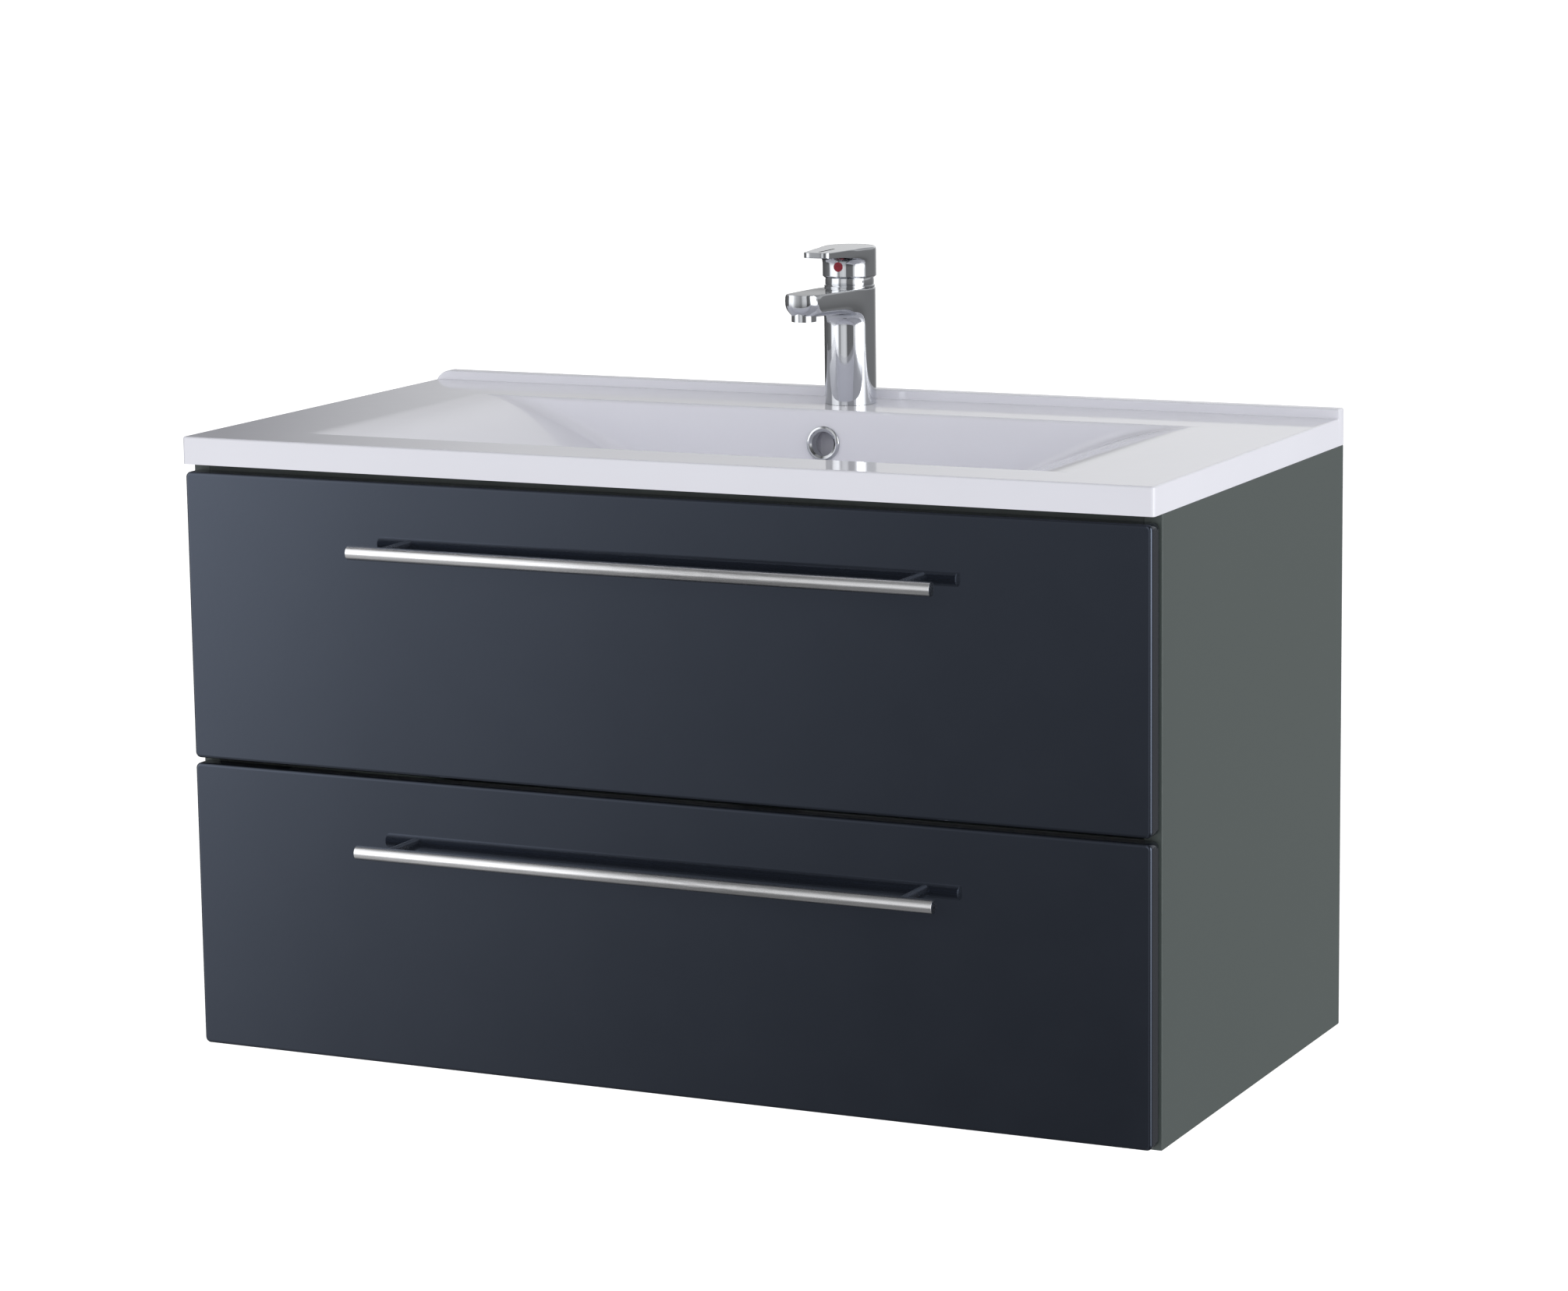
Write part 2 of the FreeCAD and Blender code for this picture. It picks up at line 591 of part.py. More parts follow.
def trap_body():
    """Upper half of the bottle, open below for the cup, with its outlet to the wall."""
    floor_z = below(250)
    shell = [(TAIL_R + 0.4, below(200), 0), (24.0, below(200), 2), (TRAP_R, below(206), 4),
             (TRAP_R, floor_z, 0), (TRAP_R - 3, floor_z, 0), (TRAP_R - 3, below(208), 3),
             (TAIL_R + 0.4, below(203), 0)]
    bottle = turned(shell, 0, DRAIN_Y)
    outlet_z = below(OUTLET_DOWN)
    branch = rod((0, DRAIN_Y + TRAP_R - 5, outlet_z), (0, BRANCH_END_Y, outlet_z), 20.0)
    passage = rod((0, DRAIN_Y + TRAP_R - 8, outlet_z), (0, BRANCH_END_Y + 1, outlet_z), 15.0)
    clear = rod((0, DRAIN_Y, below(260)), (0, DRAIN_Y, below(208)), TRAP_R - 3)
    top_half = box(-25, 25, DRAIN_Y, DRAIN_Y + 50, below(260), below(190))
    return bottle.fuse(branch.common(top_half).cut(clear)).cut(passage).removeSplitter()


def trap_cup():
    top, bottom = below(250.3), below(290)
    shell = [(0, bottom, 0), (TRAP_R - 3, bottom, 5), (TRAP_R + 1, bottom + 10, 3), (TRAP_R + 1, top, 0),
             (TRAP_R - 2, top, 0), (TRAP_R - 2, bottom + 11, 3), (TRAP_R - 6, bottom + 3, 2),
             (0, bottom + 3, 0)]
    return turned(shell, 0, DRAIN_Y)


def outlet_tube():
    """Tube to the wall, a little thinner where it slips into the trap's nut."""
    z = below(OUTLET_DOWN)
    slip_end = BRANCH_END_Y + 26.0
    slip = pipe((0, BRANCH_END_Y + 0.3, z), (0, slip_end, z), TAIL_R - 0.3, TAIL_BORE_R)
    return slip.fuse(pipe((0, slip_end, z), (0, -1.0, z), TAIL_R, TAIL_BORE_R))


# ---------------------------------------------------------------------------
# Tap, built on its own axis with the deck at z = 0 and moved into place
# ---------------------------------------------------------------------------
def on_deck(shape):
    shape.translate(V(0, TAP_Y, DECK_Z))
    return shape


def spout_section(reach, half, top, depth):
    """Closed section of the spout: flat on top, round underneath."""
    sides = [(-half, top), (-half * 1.07, top - depth * 0.34), (-half * 0.72, top - depth * 0.84),
             (0.0, top - depth), (half * 0.72, top - depth * 0.84),
             (half * 1.07, top - depth * 0.34), (half, top)]
    points = [V(x, -reach, z) for x, z in sides]
    belly = Part.BSplineCurve()
    belly.interpolate(points)
    return Part.Wire([belly.toShape(), Part.LineSegment(points[-1], points[0]).toShape()])


def tap_body():
    barrel = rod((0, 0, TAP_GASKET), (0, 0, TAP_BODY_TOP), TAP_R)
    barrel = barrel.makeFillet(1.0, edges_where(barrel, lambda b: b.ZLength < 0.1))
    stations = [(4, 21.0, TAP_BODY_TOP, 24.5), (36, 19.4, 106.1, 22.0), (72, 17.6, 106.9, 20.0),
                (SPOUT_REACH, 16.0, SPOUT_TIP_TOP, 18.9)]
    spout = Part.makeLoft([spout_section(*station) for station in stations], True, False)
    tip = plan_prism([(-26, 10, 0), (-26, -SPOUT_REACH + 1, 24), (26, -SPOUT_REACH + 1, 24),
                      (26, 10, 0)], 60, 130)
    body = barrel.fuse(spout.common(tip)).removeSplitter()
    chamber = rod((0, 0, 62), (0, 0, 120), CARTRIDGE_R + 0.2)
    waterway = rod((0, -12, 90), (0, -AERATOR_REACH, 98), 5.0)
    mouth = rod((0, -AERATOR_REACH, 78), (0, -AERATOR_REACH, AERATOR_TOP + 0.5), AERATOR_R + 0.1)
    inlets = [rod((x, INLET_Y, 0), (x, INLET_Y, TAP_GASKET + 14), INLET_R)
              for x in (-INLET_X, INLET_X)]
    stud_hole = rod((0, STUD_Y, 0), (0, STUD_Y, TAP_GASKET + 13), 4.05)
    ring_seat = rod((0, 0, TAP_BODY_TOP), (0, 0, TAP_BODY_TOP + 12), NECK_R + 0.3)
    return on_deck(body.cut([chamber, waterway, mouth, stud_hole, ring_seat] + inlets))


def aerator():
    low = AERATOR_LOW
    sleeve = pipe((0, -AERATOR_REACH, low), (0, -AERATOR_REACH, AERATOR_TOP), AERATOR_R,
                  AERATOR_R - 2)
    screen = rod((0, -AERATOR_REACH, low + 2), (0, -AERATOR_REACH, low + 4), AERATOR_R - 1)
    holes = [rod((6 * math.cos(a), -AERATOR_REACH + 6 * math.sin(a), low),
                 (6 * math.cos(a), -AERATOR_REACH + 6 * math.sin(a), low + 6), 1.6)
             for a in (math.radians(45 * i) for i in range(8))]
    centre_hole = rod((0, -AERATOR_REACH, low), (0, -AERATOR_REACH, low + 6), 2.4)
    return on_deck(sleeve.fuse(screen).cut(holes + [centre_hole]).removeSplitter())


def cartridge():
    body = rod((0, 0, 66), (0, 0, 103), CARTRIDGE_R)
    return on_deck(body.cut(rod((0, 0, 96), (0, 0, 104), 13.0)))


def neck_ring():
    """Domed ring that the lever's cap turns and tilts around."""
    ball = Part.makeSphere(NECK_R, V(0, 0, TILT_UP))
    zone = ball.common(box(-30, 30, -30, 30, TAP_BODY_TOP, TILT_UP + 6))
    return on_deck(zone.cut(rod((0, 0, 100), (0, 0, 120), 14.2)))


def cartridge_collar():
    """Turning collar of the cartridge, slotted for the lever's stem, with its pin."""
    collar = rod((0, 0, 96.3), (0, 0, 114), 12.6)
    collar = collar.cut(box(-4.4, 4.4, -10, 10, 96, 115))
    pin = rod((-12.4, 0, TILT_UP), (12.4, 0, TILT_UP), 1.5)
    return on_deck(collar.fuse(pin).removeSplitter())


def cartridge_stem():
    stem = box(-STEM_HALF, STEM_HALF, -STEM_HALF, STEM_HALF, 101, SOCKET_TOP - 0.3)
    return on_deck(stem.cut(rod((-5, 0, TILT_UP), (5, 0, TILT_UP), 1.55)))


def tap_lever():
    """Cap and flat lever in one casting, hollow below for the neck ring."""
    cap = rod((0, 0, CAP_BOTTOM), (0, 0, CAP_TOP), CAP_R)
    cap = cap.makeChamfer(1.2, edges_where(cap, lambda b: b.ZMax < CAP_BOTTOM + 0.1))
    cap = cap.makeFillet(3.5, edges_where(cap, lambda b: b.ZMin > CAP_TOP - 0.1))
    outline = plan_prism([(-12, -LEVER_REACH, 4), (12, -LEVER_REACH, 4), (22.6, -6, 0),
                          (16, 6, 0), (-16, 6, 0), (-22.6, -6, 0)], 120, 150)
    flank = side_prism([(-LEVER_REACH - 1, LEVER_TIP_TOP, 0), (6, CAP_TOP, 0), (6, 131, 0),
                        (-22, 131.5, 0), (-34, 135.2, 20), (-LEVER_REACH - 1, LEVER_TIP_LOW, 0)],
                       -30, 30)
    solid = cap.fuse(outline.common(flank)).removeSplitter()
    hollow = rod((0, 0, CAP_BOTTOM - 1), (0, 0, 126), CAP_HOLLOW_R)
    socket = box(-STEM_HALF - 0.05, STEM_HALF + 0.05, -STEM_HALF - 0.05, STEM_HALF + 0.05, 120,
                 SOCKET_TOP)
    groove = plan_prism([(-1.2, -64, 1.1), (1.2, -64, 1.1), (1.2, -32, 1.1), (-1.2, -32, 1.1)],
                        LEVER_TIP_TOP - 1.0, 150)
    dot_seat = rod((0, -CAP_R + 0.9, DOT_UP), (0, -CAP_R - 2, DOT_UP), DOT_R + 0.2)
    return on_deck(solid.cut([hollow, socket, groove, dot_seat]))


def index_dot():
    """Round hot and cold mark in the front of the cap."""
    disc = rod((0, -CAP_R + 0.9, DOT_UP), (0, -CAP_R - 0.5, DOT_UP), DOT_R)
    return on_deck(disc.makeFillet(0.4, edges_where(disc, lambda b: b.YMax < -CAP_R)))


def tap_gasket():
    return on_deck(pipe((0, 0, 0), (0, 0, TAP_GASKET), TAP_R - 0.7, 18.2))


def tap_fixings():
    """Stud, half-moon clamp plate, rubber and nut that hold the tap to the washbasin."""
    stud = rod((0, STUD_Y, -62), (0, STUD_Y, TAP_GASKET + 12), 4.0)
    opening = box(-26, 26, -2, 40, -30, 0)
    top = -DECK_THICK
    layers = []
    for high, low in ((top, top - 3), (top - 3, top - 6)):
        plate = rod((0, 0, low), (0, 0, high), 25.0).cut(opening)
        layers.append(plate.cut(rod((0, STUD_Y, low - 1), (0, STUD_Y, high + 1), 4.4)))
    nut = plan_prism([(7.5 * math.cos(a), 7.5 * math.sin(a), 0)
                      for a in (math.radians(60 * i) for i in range(6))],
                     top - 13, top - 6, (0, STUD_Y))
    nut = nut.cut(rod((0, STUD_Y, top - 14), (0, STUD_Y, top - 5), 4.05))
    return on_deck(group([stud, nut] + layers))


# ---------------------------------------------------------------------------
# All nodes
# ---------------------------------------------------------------------------
def build():
    nodes = {
        "washbasin": washbasin(),
        "overflow_ring": overflow_ring(),
        "side_panel_left": side_panel(-1),
        "side_panel_right": side_panel(1),
        "carcass_dowels": group(dowel_rods(DOWEL_R, 0.0)),
        "cabinet_hangers": cabinet_hangers(),
        "wall_plates": wall_plates(),
        "front_bumpers": front_bumpers(),
        "waste_body": waste_body(),
        "waste_seals": waste_seals(),
        "waste_nut": waste_nut(),
        "drain_plug": drain_plug(),
        "trap_dip_tube": trap_dip_tube(),
        "trap_nuts": trap_nuts(),
        "trap_body": trap_body(),
        "trap_cup": trap_cup(),
        "outlet_tube": outlet_tube(),
        "tap_body": tap_body(),
        "tap_gasket": tap_gasket(),
        "tap_fixings": tap_fixings(),
        "aerator": aerator(),
        "cartridge": cartridge(),
        "cartridge_collar": cartridge_collar(),
        "cartridge_stem": cartridge_stem(),
        "neck_ring": neck_ring(),
        "tap_lever": tap_lever(),
        "index_dot": index_dot(),
        "trap_surround": trap_surround(),
    }
    for name in CROSS_BOARDS:
        nodes[name] = cross_board(name)
    for name in DRAWERS:
        nodes[name + "_front"] = drawer_front(name)
        nodes[name + "_side_left"] = drawer_side(name, -1)
        nodes[name + "_side_right"] = drawer_side(name, 1)
        nodes[name + "_base"] = drawer_base(name)
        nodes[name + "_back"] = drawer_back(name)
        nodes[name + "_front_brackets"] = front_brackets(name)
        nodes[name + "_gallery_rails"] = gallery_rails(name)
        nodes[name + "_handle_bar"] = handle_bar(name)
        nodes[name + "_handle_posts"] = handle_posts(name)
        nodes[name + "_handle_screws"] = handle_screws(name)
        nodes[name + "_cabinet_runners"] = runners(name, RUNNER_CABINET, True, -440.0, -95.0)
        nodes[name + "_middle_runners"] = runners(name, RUNNER_MIDDLE, True, -438.0, -98.0)
        nodes[name + "_drawer_runners"] = runners(name, RUNNER_DRAWER, False, -440.0, -95.0)
    return nodes


os.makedirs("parts", exist_ok=True)
for node, shape in build().items():
    if not shape.isValid():
        print("not valid:", node)
    print(f"{node:28s} solids {len(shape.Solids):2d}  volume {shape.Volume / 1000:10.2f} cm3")
    shape.exportStep("parts/" + node + ".step")
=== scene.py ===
import json
import math
import bmesh
import bpy
from mathutils import Matrix, Vector


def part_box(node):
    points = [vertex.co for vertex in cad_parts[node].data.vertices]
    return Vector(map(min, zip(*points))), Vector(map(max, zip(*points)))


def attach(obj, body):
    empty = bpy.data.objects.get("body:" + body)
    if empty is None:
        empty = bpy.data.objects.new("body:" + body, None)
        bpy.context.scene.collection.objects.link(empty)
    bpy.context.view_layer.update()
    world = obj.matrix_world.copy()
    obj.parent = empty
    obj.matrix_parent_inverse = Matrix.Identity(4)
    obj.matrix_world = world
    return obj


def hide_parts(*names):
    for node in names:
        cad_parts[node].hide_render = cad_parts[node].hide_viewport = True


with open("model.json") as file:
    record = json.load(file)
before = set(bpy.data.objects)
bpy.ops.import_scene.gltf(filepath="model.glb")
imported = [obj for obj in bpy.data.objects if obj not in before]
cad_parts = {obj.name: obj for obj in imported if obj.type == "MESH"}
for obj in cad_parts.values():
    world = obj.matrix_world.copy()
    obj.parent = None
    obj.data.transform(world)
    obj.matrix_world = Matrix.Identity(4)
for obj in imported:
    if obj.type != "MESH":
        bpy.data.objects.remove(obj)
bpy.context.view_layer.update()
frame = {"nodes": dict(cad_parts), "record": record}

NODES = frame["nodes"]
DRAWERS = ("upper", "lower")


# ---------------------------------------------------------------------------
# Materials
# ---------------------------------------------------------------------------
NOISE_LOW, NOISE_HIGH = 0.35, 0.65      # most of a noise texture's values lie between


def finish(name, colour, roughness, **sockets):
    """A new material: one Principled shader with its even numbers on its own sockets."""
    material = bpy.data.materials.new(name)
    material.use_nodes = True
    shader = material.node_tree.nodes["Principled BSDF"]
    shader.inputs["Base Color"].default_value = (*colour, 1.0)
    shader.inputs["Roughness"].default_value = roughness
    for socket, value in sockets.items():
        shader.inputs[socket.replace("_", " ")].default_value = value
    return material


def add(material, kind):
    return material.node_tree.nodes.new(kind)


def join(material, source, target):
    material.node_tree.links.new(source, target)


def shader_of(material):
    return material.node_tree.nodes["Principled BSDF"]


def speckle(material, size, stretch=(1.0, 1.0, 1.0), detail=4.0, rough=0.55):
    """Noise on the piece's own coordinates; size is the width of its grains in metres."""
    place = add(material, "ShaderNodeTexCoord")
    scale = add(material, "ShaderNodeMapping")
    scale.inputs["Scale"].default_value = stretch
    noise = add(material, "ShaderNodeTexNoise")
    noise.inputs["Scale"].default_value = 1.0 / size
    noise.inputs["Detail"].default_value = detail
    noise.inputs["Roughness"].default_value = rough
    join(material, place.outputs["Object"], scale.inputs["Vector"])
    join(material, scale.outputs["Vector"], noise.inputs["Vector"])
    return noise.outputs["Fac"]


def between(material, factor, low, high, socket):
    """Runs a shader number from low to high with the factor."""
    ramp = add(material, "ShaderNodeMapRange")
    for key, value in (("From Min", NOISE_LOW), ("From Max", NOISE_HIGH),
                       ("To Min", low), ("To Max", high)):
        ramp.inputs[key].default_value = value
    join(material, factor, ramp.inputs["Value"])
    join(material, ramp.outputs["Result"], shader_of(material).inputs[socket])


def tint(material, factor, dark, light):
    """Colour that drifts from dark to light with the factor."""
    ramp = add(material, "ShaderNodeValToRGB")
    ends = zip(ramp.color_ramp.elements, ((NOISE_LOW, dark), (NOISE_HIGH, light)))
    for element, (position, colour) in ends:
        element.position = position
        element.color = (*colour, 1.0)
    join(material, factor, ramp.inputs["Fac"])
    join(material, ramp.outputs["Color"], shader_of(material).inputs["Base Color"])


def relief(material, factor, strength, distance):
    bump = add(material, "ShaderNodeBump")
    bump.inputs["Strength"].default_value = strength
    bump.inputs["Distance"].default_value = distance
    join(material, factor, bump.inputs["Height"])
    join(material, bump.outputs["Normal"], shader_of(material).inputs["Normal"])


def gelcoat():
    """Polished white gelcoat over cast mineral."""
    m = finish("white_gelcoat", (0.80, 0.80, 0.86), 0.07, IOR=1.5)
    tint(m, speckle(m, 0.12), (0.800, 0.800, 0.862), (0.812, 0.812, 0.874))
    between(m, speckle(m, 0.02), 0.05, 0.085, "Roughness")
    return m


def gloss_lacquer():
    """Anthracite lacquer, sprayed and polished, with a trace of orange peel."""
    m = finish("anthracite_gloss_lacquer", (0.0115, 0.0135, 0.0185), 0.05, IOR=1.5,
               Specular_Tint=(0.66, 0.77, 1.0, 1.0), Specular_IOR_Level=1.0)
    tint(m, speckle(m, 0.05), (0.011, 0.013, 0.018), (0.0122, 0.0143, 0.0196))
    between(m, speckle(m, 0.03), 0.03, 0.055, "Roughness")
    relief(m, speckle(m, 0.004, detail=1.0), 0.012, 0.0004)
    return m


def satin_lacquer():
    """Anthracite satin lacquer of the cabinet's sides."""
    m = finish("anthracite_satin_lacquer", (0.076, 0.093, 0.089), 0.42, IOR=1.5)
    tint(m, speckle(m, 0.5, detail=1.0), (0.075, 0.092, 0.088), (0.077, 0.094, 0.090))
    between(m, speckle(m, 0.25, detail=1.0), 0.41, 0.43, "Roughness")
    relief(m, speckle(m, 0.0012, detail=3.0), 0.03, 0.0001)
    return m


def melamine(name, dark, light):
    """Faced board with a fine wood pore along its length."""
    m = finish(name, light, 0.5, IOR=1.5)
    tint(m, speckle(m, 0.02, stretch=(0.08, 1.0, 1.0), detail=6.0), dark, light)
    between(m, speckle(m, 0.003), 0.42, 0.56, "Roughness")
    relief(m, speckle(m, 0.002, stretch=(0.05, 1.0, 1.0), detail=5.0), 0.08, 0.0002)
    return m


def powder_coat():
    m = finish("grey_powder_coat", (0.50, 0.51, 0.52), 0.4, IOR=1.5)
    between(m, speckle(m, 0.004), 0.34, 0.46, "Roughness")
    relief(m, speckle(m, 0.0015, detail=2.0), 0.12, 0.0002)
    tint(m, speckle(m, 0.05), (0.49, 0.50, 0.51), (0.52, 0.53, 0.54))
    return m


def brushed_steel(name, colour, stretch, rough):
    """Steel with fine lines along the piece's long direction."""
    m = finish(name, colour, rough, Metallic=1.0)
    lines = speckle(m, 0.0006, stretch=stretch, detail=3.0)
    between(m, lines, rough - 0.06, rough + 0.08, "Roughness")
    relief(m, lines, 0.06, 0.00005)
    tint(m, speckle(m, 0.03), tuple(c * 0.95 for c in colour), colour)
    return m


def chrome():
    m = finish("polished_chrome", (0.60, 0.615, 0.64), 0.04, Metallic=1.0)
    between(m, speckle(m, 0.015), 0.025, 0.055, "Roughness")
    return m


def zinc_plate():
    m = finish("zinc_plate", (0.62, 0.63, 0.65), 0.3, Metallic=1.0)
    between(m, speckle(m, 0.004, detail=6.0), 0.22, 0.4, "Roughness")
    tint(m, speckle(m, 0.01, detail=6.0), (0.55, 0.56, 0.58), (0.68, 0.69, 0.70))
    return m


def turned_brass():
    m = finish("turned_brass", (0.72, 0.52, 0.26), 0.28, Metallic=1.0)
    between(m, speckle(m, 0.0006, stretch=(0.2, 0.2, 1.0)), 0.2, 0.36, "Roughness")
    tint(m, speckle(m, 0.01), (0.66, 0.47, 0.23), (0.75, 0.55, 0.28))
    return m


def moulded(name, dark, light, rough):
    """Moulded plastic with a fine grain."""
    m = finish(name, light, rough, IOR=1.48)
    tint(m, speckle(m, 0.03), dark, light)
    between(m, speckle(m, 0.004), rough - 0.05, rough + 0.06, "Roughness")
    relief(m, speckle(m, 0.0008, detail=2.0), 0.05, 0.0001)
    return m


def black_rubber():
    m = finish("black_rubber", (0.02, 0.02, 0.021), 0.65, IOR=1.5)
    between(m, speckle(m, 0.002), 0.55, 0.75, "Roughness")
    relief(m, speckle(m, 0.0008), 0.1, 0.0001)
    return m


def clear_bumper():
    m = finish("clear_bumper", (0.80, 0.80, 0.78), 0.3, IOR=1.45, Transmission_Weight=0.55)
    between(m, speckle(m, 0.002), 0.22, 0.4, "Roughness")
    return m


def red_mark():
    m = finish("red_index", (0.32, 0.012, 0.03), 0.12, IOR=1.5)
    tint(m, speckle(m, 0.003), (0.28, 0.010, 0.028), (0.36, 0.015, 0.035))
    return m


def ribbed_beech():
    m = finish("ribbed_beech", (0.62, 0.44, 0.27), 0.6)
    tint(m, speckle(m, 0.004, stretch=(0.1, 1.0, 1.0), detail=6.0), (0.52, 0.35, 0.20),
         (0.68, 0.50, 0.32))
    relief(m, speckle(m, 0.001, stretch=(0.05, 1.0, 1.0)), 0.3, 0.0002)
    return m


WHITE = gelcoat()
GLOSS = gloss_lacquer()
SATIN = satin_lacquer()
CARCASS = melamine("dark_board", (0.054, 0.066, 0.063), (0.064, 0.077, 0.074))
DRAWER_BOARD = melamine("light_board", (0.50, 0.51, 0.51), (0.56, 0.57, 0.57))
COAT = powder_coat()
BAR_STEEL = brushed_steel("satin_bar", (0.76, 0.76, 0.77), (0.03, 1.0, 1.0), 0.24)
CHROME = chrome()
ZINC = zinc_plate()
BRASS = turned_brass()
WHITE_PLASTIC = moulded("white_plastic", (0.78, 0.78, 0.77), (0.82, 0.82, 0.81), 0.35)
GREY_PLASTIC = moulded("grey_plastic", (0.40, 0.41, 0.42), (0.45, 0.46, 0.47), 0.4)
RUBBER = black_rubber()
BUMPER = clear_bumper()
RED = red_mark()
BEECH = ribbed_beech()

BY_SLOT = {
    "cast_white": WHITE, "lacquer_anthracite": GLOSS, "carcass_board": CARCASS,
    "drawer_board": DRAWER_BOARD, "painted_steel": COAT, "satin_steel": BAR_STEEL,
    "zinc_steel": ZINC, "chrome": CHROME, "brass": BRASS, "white_plastic": WHITE_PLASTIC,
    "grey_plastic": GREY_PLASTIC, "rubber": RUBBER, "clear_bumper": BUMPER, "index_red": RED,
    "beech": BEECH,
}
for part in frame["record"]["subparts"]:
    mesh = NODES[part["node"]].data
    mesh.materials.clear()
    mesh.materials.append(BY_SLOT[part["material_slot"]])


# ---------------------------------------------------------------------------
# Making pieces
# ---------------------------------------------------------------------------
def piece(name, bm, material, body, stands_for, smooth_up_to=35.0):
    """Turns a bmesh into a piece that stands for a CAD node and moves with its body."""
    mesh = bpy.data.meshes.new(name)
    bmesh.ops.recalc_face_normals(bm, faces=bm.faces)
    bm.to_mesh(mesh)
    bm.free()
    return set_up(name, mesh, material, body, stands_for, smooth_up_to)


def set_up(name, mesh, material, body, stands_for, smooth_up_to):
    mesh.materials.clear()
    mesh.materials.append(material)
    mesh.shade_smooth()
    mesh.set_sharp_from_angle(angle=math.radians(smooth_up_to))
    obj = bpy.data.objects.new(name, mesh)
    bpy.context.scene.collection.objects.link(obj)
    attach(obj, body)
    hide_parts(*stands_for)
    return obj


def block(low, high):
    """A bmesh box from its lowest to its highest corner."""
    bm = bmesh.new()
    low, high = Vector(low), Vector(high)
    place = Matrix.Translation((low + high) / 2) @ Matrix.Diagonal((*(high - low), 1.0))
    bmesh.ops.create_cube(bm, size=1.0, matrix=place)
    return bm


def round_edges(bm, test, width, segments):
    edges = [edge for edge in bm.edges if test(edge)]
    bmesh.ops.bevel(bm, geom=edges, offset=width, offset_type="OFFSET", segments=segments,
                    profile=0.5, affect="EDGES", clamp_overlap=True, material=-1)


def hold_flat(bm, least=1e-4, width=0.0003):
    """Narrow border inside each large flat face, so that it is shaded flat to its edge."""
    large = [f for f in bm.faces if f.calc_area() > least]
    bmesh.ops.inset_individual(bm, faces=large, thickness=width, depth=0.0)


def runs_along(edge, axis):
    return abs((edge.verts[1].co - edge.verts[0].co).normalized()[axis]) > 0.99


def merged_copy(node):
    """The CAD node's mesh as a bmesh with its loose triangles merged."""
    bm = bmesh.new()
    bm.from_mesh(NODES[node].data)
    bmesh.ops.remove_doubles(bm, verts=bm.verts, dist=1e-6)
    return bm


# ---------------------------------------------------------------------------
# Washbasin
# ---------------------------------------------------------------------------
BASIN_LOW, BASIN_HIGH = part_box("washbasin")
HALF_WIDTH = BASIN_HIGH.x
FRONT_Y = BASIN_LOW.y
UPSTAND_HIGH = 0.0085
UPSTAND_RUN = 0.014             # length over which its left end is rounded down
UPSTAND_ARRIS, UPSTAND_FLAT, UPSTAND_ROUND, UPSTAND_FILLET = 0.0006, 0.011, 0.002, 0.0012
UPSTAND_FOOT = UPSTAND_FLAT + UPSTAND_ROUND
DECK_Z = BASIN_HIGH.z - UPSTAND_HIGH
EDGE_HIGH = 0.024
BOWL_DEPTH = 0.109
RAMP_START, RAMP_END = 0.358, 0.028
BOWL_BACK, BOWL_FRONT = -0.106, -0.402
PAST_BOWL = 0.360               # beyond both ends of the bowl
WALL_TURN = math.radians(84.0)
DRAFT = math.radians(90) - WALL_TURN
RIM_R, CREASE_R = 0.004, 0.012
EDGE_R, CORNER_R = 0.002, 0.003
NARROW = 0.0004                 # first and last cells of a flat run, which keep its shading flat
DRAIN = Vector((0.0, -0.232, DECK_Z - BOWL_DEPTH))
TAP = Vector((0.0, -0.05, DECK_Z))
OVERFLOW_DOWN = 0.030
OVERFLOW = Vector((0, BOWL_BACK - OVERFLOW_DOWN * math.tan(DRAFT), DECK_Z - OVERFLOW_DOWN))
OVERFLOW_AXIS = Vector((0, math.cos(DRAFT), -math.sin(DRAFT)))
DRAIN_HOLE_R, TAP_HOLE_R, OVERFLOW_HOLE_R = 0.033, 0.0175, 0.0123
DECK_THICK, SIDE_SKIRT, FRONT_SKIRT, CAST_WALL = 0.012, 0.016, 0.032, 0.011
CAST_WALL_HALF = 0.326          # half the length of the bowl's wall under the deck
DUCT_HALF, DUCT_FRONT, DUCT_BACK = 0.020, -0.114, -0.081
PARTING_X = (0.0, 0.021, 0.034, 0.110, 0.193)               # where the CAD divides the casting
PARTING_Y = (-0.013, -0.119, -0.131, -0.377, -0.389)
ON_PLANE, NEAR = 1e-5, 1e-4


def bowl_depth(x):
    t = min(max((RAMP_START - abs(x)) / (RAMP_START - RAMP_END), 0.0), 1.0)
    return BOWL_DEPTH * (3 * t * t - 2 * t ** 3)


def wall_profile(depth):
    """(inward, down) points from the deck, round the rim, down the wall and into the floor."""
    turn = math.acos(max(1 - depth / (RIM_R + CREASE_R), math.cos(WALL_TURN)))
    drop = depth - (RIM_R + CREASE_R) * (1 - math.cos(turn))
    run = drop / math.tan(turn) if turn > 1e-6 and drop > 1e-9 else 0.0
    end = (RIM_R + CREASE_R) * math.sin(turn) + run
    points = []
    for i in range(7):
        a = turn * i / 6
        points.append((RIM_R * math.sin(a), RIM_R * (1 - math.cos(a))))
    rim_u, rim_v = points[-1]
    points += [(rim_u + run * i / 8, rim_v + max(drop, 0.0) * i / 8) for i in range(1, 8)]
    for i in range(9):
        a = turn * (1 - i / 8)
        points.append((end - CREASE_R * math.sin(a), depth - CREASE_R * (1 - math.cos(a))))
    return points


